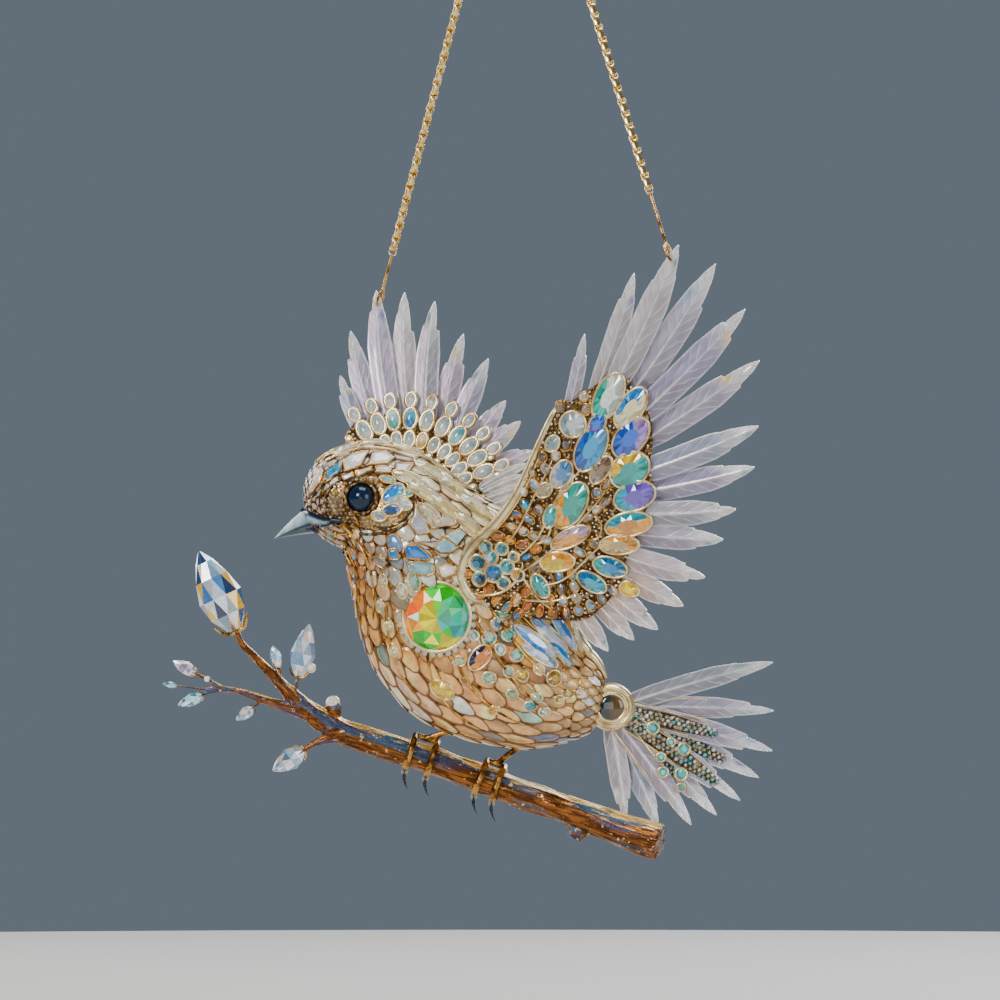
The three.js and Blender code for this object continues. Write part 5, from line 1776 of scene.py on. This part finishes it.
def bark_finish(points, normals):
    """Ridges along the grain: a sum of sin(m * round + k * along), as deep as the wood is thick."""
    near = nearest_wood(points)
    run = WOOD_RUN[near]
    off = points - WOOD[near]
    off = off - (off * run).sum(1, keepdims=True) * run
    side = unit(np.cross(run, FRONT))
    up = np.cross(side, run)
    a, b = (off * side).sum(1), (off * up).sum(1)
    along = WOOD_ALONG[near] + ((points - WOOD[near]) * run).sum(1) / MM
    turn, thick = np.arctan2(b, a), np.hypot(a, b)
    ridge = np.zeros(len(points))
    for m, k in ((3, 0.21), (5, -0.16), (8, 0.3), (11, -0.12), (6, 0.55)):
        ridge += np.sin(m * turn + k * along + 1.4 * np.sin(0.33 * along + m))
    knots = np.sin(0.42 * along + 2 * turn) * np.sin(0.19 * along + 1)
    rough = 0.018 * ridge + 0.07 * knots
    points = points + (rough * thick)[:, None] * normals
    grain = np.stack([along * 0.2, a / MM, b / MM], -1)
    # topside tells how far a point faces up; the bark recipe paints its top highlight there.
    return points, {"grain": grain, "topside": np.clip(normals[:, 2] * 0.7 + 0.3, -1, 1)}


branch = reskin("branch", "branch_bark", 0.0004, 6, BARK, bark_finish)
print("branch has", len(branch.data.polygons), "faces")


# %% [markdown]
# The beak is enamelled horn. The solid's flats would show on it, so rings run from root to tip, and
# a groove marks where it opens.

# %% Beak
# x, z and half-width along the two wedges that run from the beak back over the cheek
BEAK_WEDGES = (
    ((-188, -180, -171, -161), (82, 80, 79, 80), (6, 4.6, 2.6, 0.5)),
    ((-184, -175, -166), (70, 73, 77), (3.4, 2.6, 0.5)),
)


def dress_beak():
    """Rings along the beak's solid. The upper half is pale steel blue, painted lighter towards its top as a highlight,
    and the gape line is dark.
    """
    root, tip = place(np.array([-176.0, -225.5]), np.array([84.5, 61.5]))
    aim, length = unit(tip - root), np.linalg.norm(tip - root)
    s = np.linspace(0, 1, 42)
    line = root + s[:, None] * length * aim
    line[:, 2] += 0.0005 * np.sin(np.pi * s)
    radius = 0.0053 * np.interp(s, [0, 0.3, 0.6, 0.85, 1], [1, 0.74, 0.45, 0.18, 0.02])
    sides = 60
    points, blocks = tube(line, radius, sides)
    up = np.cross(FRONT, aim)
    up = up if up[2] > 0 else -up
    off = points - np.repeat(line, sides, axis=0)
    rise = off @ up / np.repeat(radius, sides)
    share = np.repeat(s, sides)
    groove = np.exp(-(((rise + 0.22) / 0.1) ** 2))
    points = points - (groove * 0.12 * np.repeat(radius, sides))[:, None] * unit(off)
    upper = np.clip((rise + 0.22) * 6 + 0.5, 0, 1)[:, None]
    # Painted highlight: the upper half grows paler towards its top.
    light = np.clip(rise * 1.2 + 0.1, 0, 1)[:, None]
    pale = hex_colour("#6f93a3") * (1 - light) + hex_colour("#d5e6ea") * light
    lower = hex_colour("#2c4452") * (1 - upper) + pale * upper
    nostril = np.exp(-(((share - 0.27) / 0.05) ** 2) - ((rise - 0.42) / 0.12) ** 2)
    dark = np.clip(groove + nostril * 1.4, 0, 1)[:, None]
    shade = lower * (1 - dark) + hex_colour("#0a0d12") * dark
    points[:, 1] *= 0.86
    add_piece("beak_horn", (points, blocks), STONE, tint=np.clip(shade, 0, 1), hides=["beak"])
    jaws = []
    for side in (1, -1):
        for xs, zs, wide in BEAK_WEDGES:
            spots, normals = skin_at(np.array(xs, float), np.array(zs, float), side)
            line = smooth_line(np.column_stack([spots + normals * 0.0005, np.array(wide) * GRID]), 24)
            jaws.append(squashed(line[:, :3], line[:, 3], unit(normals.mean(0)), 0.42, 12))
    shade = np.concatenate([np.tile(hex_colour(code), (24 * 12, 1)) for code in ("#9fbcc6", "#35444c") * 2])
    add_piece("beak_base", join(jaws), STONE, tint=shade)
    return length


print("the beak is", round(dress_beak() / MM, 1), "mm long")


# %% [markdown]
# Buds are long cut crystals in bent prongs. A subdivided solid turns soft, so rings of zigzag
# corners give flat kites.


# %% Crystals
def cut_crystal(fit_points, sides, rows):
    """A long cut crystal over a solid's length: rings of zigzag corners, so that the facets are kites."""
    middle = fit_points.mean(0)
    spread = np.linalg.svd(fit_points - middle, full_matrices=False)[2]
    aim = spread[0]
    reach = (fit_points - middle) @ aim
    across = np.cross(aim, FRONT)
    across = unit(across)
    depth = np.cross(across, aim)
    wide = np.abs((fit_points - middle) @ across).max()
    deep = np.abs((fit_points - middle) @ depth).max()
    narrow_end = np.abs((fit_points - middle) @ across)[reach < np.percentile(reach, 25)].mean()
    wide_end = np.abs((fit_points - middle) @ across)[reach > np.percentile(reach, 75)].mean()
    if wide_end > narrow_end:
        aim, reach = -aim, -reach
    share = np.array([0, 0.2, 0.42, 0.66, 0.86, 1.0])[:rows]
    girth = np.array([0.32, 0.84, 1.0, 0.78, 0.42, 0.05])[:rows]
    angle = circle(sides)
    rings = []
    for i, (s, g) in enumerate(zip(share, girth)):
        a = angle + (i % 2) * np.pi / sides
        centre = middle + aim * (reach.min() + s * (reach.max() - reach.min()))
        rings.append(centre + g * (np.cos(a)[:, None] * across * wide + np.sin(a)[:, None] * depth * deep))
    i = np.arange(sides)
    j = (i + 1) % sides
    blocks = [i[::-1][None], (i + (rows - 1) * sides)[None]]
    for row in range(rows - 1):
        low, high = row * sides, (row + 1) * sides
        if row % 2 == 0:
            blocks += [np.stack([low + i, low + j, high + i], -1), np.stack([low + j, high + j, high + i], -1)]
        else:
            blocks += [np.stack([low + i, high + j, high + i], -1), np.stack([low + i, low + j, high + j], -1)]
    return (np.concatenate(rings), blocks), middle + aim * reach.min(), aim, wide


BUD_TONES = colours("#1d2f5f", "#3f77b5", "#e9eef2", "#f2c435", "#8fb9cf", "#f5efe2", "#26406f", "#cfdde6")
LEAF_TONES = colours("#cfdfe8", "#9fb3d0", "#f0f2f4", "#e6c8b0", "#86b6c9", "#dcd6e6", "#6f8fb8")
TEAL_TONES = colours("#5fb6bf", "#a6dde0", "#2f7f96", "#e6f2f2")
PINK_TONES = colours("#c9b6cf", "#e9e0ea", "#9f86ad", "#f3eef2")
CRYSTALS = {
    "bud_crystal": (10, BUD_TONES),
    "leaf_crystal_left": (7, PINK_TONES),
    "leaf_crystal_tip": (6, TEAL_TONES),
    "leaf_crystal_lower_left": (7, TEAL_TONES),
    "leaf_crystal_small": (7, LEAF_TONES),
    "leaf_crystal_under": (8, LEAF_TONES),
    "leaf_crystal_upright": (8, LEAF_TONES),
    "leaf_crystal_fork": (7, LEAF_TONES),
}
for name, (sides, palette) in CRYSTALS.items():
    shape, foot, aim, wide = cut_crystal(solid_points(name), sides, 6)
    faces = sum(len(block) for block in shape[1])
    shade = palette[rng.integers(0, len(palette), faces)] * rng.uniform(0.6, 1.3, (faces, 1))
    shade = np.clip(per_face(shape, shade), 0, 1)
    add_piece(name + "_cut", shape, CUT, tint=shade, smooth=False, hides=[name])
    side_way = unit(np.cross(aim, FRONT))
    deep_way = np.cross(side_way, aim)
    prongs = []
    for k in range(5):
        a = 2 * np.pi * k / 5 + 0.4
        out = np.cos(a) * side_way + 0.72 * np.sin(a) * deep_way
        drawn = [foot - aim * 0.1 * wide, foot + out * 0.5 * wide, foot + aim * 0.5 * wide + out * 0.86 * wide]
        line = smooth_line(drawn, 7)
        prongs.append(tube(line, wide * np.linspace(0.13, 0.04, 7), 5, facing=unit(np.cross(aim, out))))
    add_piece(name + "_prongs", join(prongs), GILT)
print(len(CRYSTALS), "crystals, each in five prongs")

# %% [markdown]
# A few pearls sit by the buds. The eye's ball gives the same form at a smaller size.

# %% Pearls on the bark
# Grid place, radius on the grid and depth in metres
PEARLS = [(-167, -103, 7.5, 0.001), (-189, -68, 5, 0.0), (-203, -73, 3.5, 0.0)]
PEARLS += [(-222, -64, 3.5, 0.0), (-293, -79, 3, 0.0)]
pearls = join([ball(place(x, z, y), r * GRID, 12, 18) for x, z, r, y in PEARLS])
add_piece("bark_pearls", pearls, PEARL, tint=np.tile(hex_colour("#efe6d2"), (len(pearls[0]), 1)))
print(len(PEARLS), "pearls")

# %% [markdown]
# ## Feet
# Gold toes are bent round the branch, with dark claws below it. Toes and claws could be separate
# pieces. One skin over the foot's solid has no seams, and a stored value tells the claws from it.


# %% Feet
def foot_finish(points, normals):
    """Claws are what hangs below the wood: their mark is 1 where z < wood - 4.6 mm."""
    near = nearest_wood(points)
    below = WOOD[near][:, 2] - points[:, 2]
    return points, {"claw": np.clip((below - 0.0043) / 0.0006, 0, 1)}


for name in ("foot_front", "foot_rear"):
    foot = reskin(name, name + "_wire", 0.00024, 8, FOOT, foot_finish)
    print(name, len(foot.data.polygons), "faces")


# %% [markdown]
# ## Tail mount
# A round drum holds the tail's feathers and a dark green stone in pale rings. Lathed rings would need
# one profile more. The slab and the ring helpers that the wings use already give the same forms.

# %% Tail mount and stone
corners = solid_points("tail_mount")
front, back = corners[:, 1].min(), corners[:, 1].max()
hub = (corners.max(0) + corners.min(0)) / 2
hub_x, hub_z, drum_radius = 111.0, -107.0, 24
turn = np.linspace(0, 2 * np.pi, 40, endpoint=False)
drum_line = place(hub_x + drum_radius * np.cos(turn), hub_z + drum_radius * np.sin(turn), hub[1])
add_piece("tail_drum", slab(drum_line, FRONT, back - front, 0.0016), PALE_GILT, hides=["tail_mount"])
stone_points = solid_points("tail_stone")
stone_x, stone_z = stone_points[:, 0].mean(), stone_points[:, 2].mean()
hub_faces = np.array([[stone_x, y, stone_z] for y in (front, back)])
outward = np.stack([FRONT, -FRONT])
radius = np.full(2, 0.0040)
big_dome = dome_shape(28, 8)
stone = stones_on(hub_faces, outward, radius, radius, np.zeros(2), np.array([0.0012, 0.0005]), big_dome)
# The stone runs from dark green to brown across its face; the brown half is a painted highlight.
glass = two_tone(colours("#082628", "#082628"), colours("#5c4518", "#5c4518"), big_dome[0][:, 0])
add_piece("tail_stone_dome", stone, STONE, tint=glass, hides=["tail_stone"])
wires = []
for share, wire in ((1.05, 0.0006), (1.45, 0.0005)):
    wires.append(rings_on(hub_faces, outward, radius * share, radius * share, np.zeros(2), wire, 0.0001, 40, 8))
add_piece("tail_rings", join(wires), PALE_GILT)
print("the tail mount is", round((back - front) / MM, 1), "mm deep")

# %% [markdown]
# Some tail feathers carry strips of tiny stones, others gilt rods. A texture would not sparkle, so
# real stones follow each feather's curve.

# %% Pave on the tail
TEAL_SPOTS = [(153, -128, 6), (184, -149, 6), (161, -157, 4.5), (163, -172, 5)]
TEAL_SPOTS += [(181, -174, 6), (181, -187, 4), (171, -142, 4)]


def tail_strip(fit, side, start, end, wide):
    """A bronze strip on one face of a feather, and staggered cut stones that cover it."""
    normal = PLANES["tail"][1] * side
    s = np.linspace(start, end, 26)
    u = fit["from"] + (fit["to"] - fit["from"]) * s
    line = on_feather(fit, u, np.polyval(fit["bend"], u)) + 0.0007 * normal
    radius = wide * fit["half"] * np.sin(np.pi * np.linspace(0.12, 0.94, 26)) ** 0.5
    strip = squashed(line, radius, normal, 0.28)
    u = np.arange(u[0], u[-1], 0.00165)
    rows = []
    for row, c in enumerate((-0.5, 0.0, 0.5)):
        v = np.polyval(fit["bend"], u) + c * wide * fit["half"]
        step = u + (row % 2) * 0.0008
        rows.append(on_feather(fit, step, v) + (0.0009 + 0.0004 * (1 - abs(c))) * normal)
    spots = np.concatenate(rows)
    size = rng.uniform(0.66, 0.9, len(spots)) * MM
    outward = np.broadcast_to(normal, spots.shape)
    first = SILVER[rng.integers(0, len(SILVER), len(spots))]
    second = TAIL_TONES[rng.integers(0, len(TAIL_TONES), len(spots))]
    stones = cut_stones(spots, outward, size, size * 0.85, rng.uniform(0, 90, len(spots)), size * 0.9, first, second, 6)
    return strip, stones


TAIL_TONES = colours("#7f9090", "#4fa6a6", "#dfe6e6", "#a99f8a", "#3f8a92", "#f2f6f6")
strips, gems, tones = [], [], []
# Start and end along each set feather, and the strip's share of its width
STRIPS = {2: (0.03, 0.62, 0.62), 3: (0.03, 0.74, 0.66), 4: (0.03, 0.8, 0.7), 5: (0.03, 0.62, 0.6)}
for index, (start, end, wide) in STRIPS.items():
    for side in (1, -1):
        strip, (shape, shade) = tail_strip(FITS["tail"][index], side, start, end, wide)
        strips.append(strip)
        gems.append(shape)
        tones.append(shade)
add_piece("tail_strips", join(strips), ANTIQUE)
add_piece("tail_pave", join(gems), CUT, tint=np.concatenate(tones), smooth=False)
rods = []
for index in range(1, 8):
    fit = FITS["tail"][index]
    for side in (1, -1):
        for c in (-0.9, 0.9):
            u = fit["from"] + (fit["to"] - fit["from"]) * np.linspace(0.02, 0.56, 24)
            v = np.polyval(fit["bend"], u) + c * fit["half"] * 0.86
            line = on_feather(fit, u, v) + side * 0.00085 * PLANES["tail"][1]
            rods.append(tube(line, 0.00042 * np.linspace(1.2, 0.35, 24), 6, facing=PLANES["tail"][1]))
add_piece("tail_rods", join(rods), PALE_GILT)
tail_face = partial(wing_face, "tail", half=0.0021)
oval_pieces("tail_teal", tail_face, [(x, z, r, r, 20, "#1f8f92", "#7fd0cc") for x, z, r in TEAL_SPOTS], 0.0014)
print(len(STRIPS), "set feathers,", len(rods), "rods and", len(TEAL_SPOTS), "teal stones on each face")

# %% [markdown]
# ## Chains, hooks and ring
# Box chain is made of ribbon loops, each turned a quarter turn from the one before. One twisted strip
# would show no gaps. Here a long and a short loop take turns from the hook's top to the ring.


# %% Links
def ribbon_link(length, width, thick, deep, count=16, sides=6):
    """A rounded box loop (L/2 |cos|^0.5, W/2 |sin|^0.5) whose section is a smaller rounded box."""
    a = circle(count)
    x = 0.5 * length * np.sign(np.cos(a)) * np.abs(np.cos(a)) ** 0.5
    y = 0.5 * width * np.sign(np.sin(a)) * np.abs(np.sin(a)) ** 0.5
    loop = np.stack([x, y, np.zeros(count)], -1)
    run = unit(np.roll(loop, -1, 0) - np.roll(loop, 1, 0))
    out = np.stack([run[:, 1], -run[:, 0], np.zeros(count)], -1)
    b = circle(sides) + np.pi / sides
    across = 0.5 * thick * np.sign(np.cos(b)) * np.abs(np.cos(b)) ** 0.6
    along = 0.5 * deep * np.sign(np.sin(b)) * np.abs(np.sin(b)) ** 0.6
    points = loop[:, None] + across[:, None] * out[:, None] + along[:, None] * np.array([0, 0, 1.0])
    return points.reshape(-1, 3), [lattice(count + 1, sides, wrap=True) % (count * sides)]


def dress_chain(name):
    """Links at equal steps between the two ends of a chain's solid."""
    corners = solid_points(name)
    middle = corners.mean(0)
    aim = np.linalg.svd(corners - middle, full_matrices=False)[2][0]
    aim = aim if aim[2] > 0 else -aim
    reach = (corners - middle) @ aim
    start, length = middle + aim * reach.min(), reach.max() - reach.min()
    pitch = 0.00205
    count = int(length / pitch)
    step = length / count
    origins = start + aim * (step * (np.arange(count) + 0.5))[:, None]
    side = unit(np.cross(aim, FRONT))
    ahead = np.cross(aim, side)
    long_link = ribbon_link(pitch + 0.0017, 0.0024, 0.00042, 0.0019, 20)
    short_link = ribbon_link(pitch + 0.0004, 0.0021, 0.00042, 0.0013)
    rows = []
    for first, link, wide in ((0, short_link, side), (1, long_link, ahead)):
        places = origins[first::2]
        axes = np.broadcast_to(np.stack([aim, wide, np.cross(aim, wide)]), (len(places), 3, 3))
        rows.append(scatter(link, places, axes))
    add_piece(name + "_links", join(rows), CHAIN, hides=[name])
    return count


print([dress_chain(name) for name in ("near_chain", "far_chain")], "links")


# %% [markdown]
# Wire hooks hold the wings and a ring takes the nail. The hooks keep their solids' bends, and the
# ring is a closed tube, rounder than its solid.

# %% Hooks and ring
for name in ("near_hook", "far_hook"):
    reskin(name, name + "_wire", 0.00022, 4, GILT)

RING_RADIUS, RING_MIDDLE = 0.0062, -0.005
turn = np.linspace(0, 2 * np.pi, 64, endpoint=False)
ring_line = np.stack([RING_RADIUS * np.cos(turn), 0 * turn, RING_MIDDLE + RING_RADIUS * np.sin(turn)], -1)
add_piece("hanging_ring_wire", tube(ring_line, 0.00118, 12, closed=True), PALE_GILT, hides=["hanging_ring"])


def join_link(name):
    """An oval of wire round the ring and a chain's end: middle + a cos w * towards + b sin w * across."""
    corners = solid_points(name)
    end = corners[corners[:, 2] > corners[:, 2].max() - 0.001].mean(0)
    drop = np.sqrt(RING_RADIUS**2 - end[0] ** 2)
    wire = np.array([end[0], 0, RING_MIDDLE - drop])
    run = unit(np.array([drop, 0, end[0]]))
    towards, gap = unit(end - wire), np.linalg.norm(end - wire)
    across = unit(np.cross(run, towards))
    w = np.linspace(0, 2 * np.pi, 40, endpoint=False)[:, None]
    line = (wire + end) / 2 + (gap / 2 + 0.0016) * np.cos(w) * towards + 0.0016 * np.sin(w) * across
    return tube(line, 0.00032, 8, closed=True, facing=run)


add_piece("ring_joins", join([join_link(name) for name in ("near_chain", "far_chain")]), GILT)
print("the ring holds both chains by one oval link each")

# %% [markdown]
# ## Stage, light and camera
# A plain pale floor and a plain grey-blue surround, so that clear glass shows. Large soft lights stand
# on all sides, and those behind shine through the feathers.


# %% Stage
def disc(name, radius, height, material):
    """Corners at radius * (cos a, sin a), all at one height."""
    a = circle(128)
    corners = np.stack([radius * np.cos(a), radius * np.sin(a), np.full(128, height)], -1)
    mesh = bpy.data.meshes.new(name)
    mesh.from_pydata(corners.tolist(), [], [tuple(range(128))])
    mesh.materials.append(material)
    made = new_object(name, mesh)


disc("floor", 1.25, -0.41, FLOOR)


def soft_light(name, spot, power, size, tone):
    """A square lamp in watts and metres, turned to the bird's middle."""
    light = bpy.data.lights.new(name, "AREA")
    light.energy = power
    light.size = size
    light.color = tone
    lamp = new_object(name, light)
    lamp.location = spot
    lamp.rotation_euler = (Vector((0, 0, -0.22)) - Vector(spot)).to_track_quat("-Z", "Y").to_euler()
    lamp.visible_camera = False


soft_light("key", (-0.9, -1.3, 0.55), 22, 0.6, (1, 0.97, 0.92))
soft_light("fill", (1.2, -1.1, 0.1), 10, 0.9, (0.9, 0.95, 1))
soft_light("low_front", (-0.2, -1.5, -0.3), 3.5, 0.8, (1, 0.95, 0.9))
soft_light("top", (0.1, 0.0, 1.1), 14, 0.9, (1, 1, 1))
soft_light("back_right", (0.6, 1.1, 0.4), 16, 0.8, (0.95, 0.98, 1))
soft_light("back_left", (-1.1, 1.0, 0.2), 12, 0.9, (1, 0.98, 0.95))

world = bpy.data.worlds.new("studio")
world.use_nodes = True
world.node_tree.nodes["Background"].inputs["Color"].default_value = (0.125, 0.155, 0.19, 1)
world.node_tree.nodes["Background"].inputs["Strength"].default_value = 1.0
bpy.context.scene.world = world

camera_data = bpy.data.cameras.new("camera")
camera_data.sensor_width = 36
camera_data.lens = 36 * 2.8 / 0.3  # 0.3 m fills the picture's width at 2.8 m
camera = new_object("camera", camera_data)
camera.location = (-0.0057, -2.8, -0.2235)
camera.rotation_euler = (np.pi / 2, 0, 0)
bpy.context.scene.camera = camera
print(len(bpy.data.lights), "soft lights")

# %% [markdown]
# Dressed points are clipped to the box of the solids, in add_piece and in the finishes of remade solids.
# The dressed part has to stay inside the box of its solids.
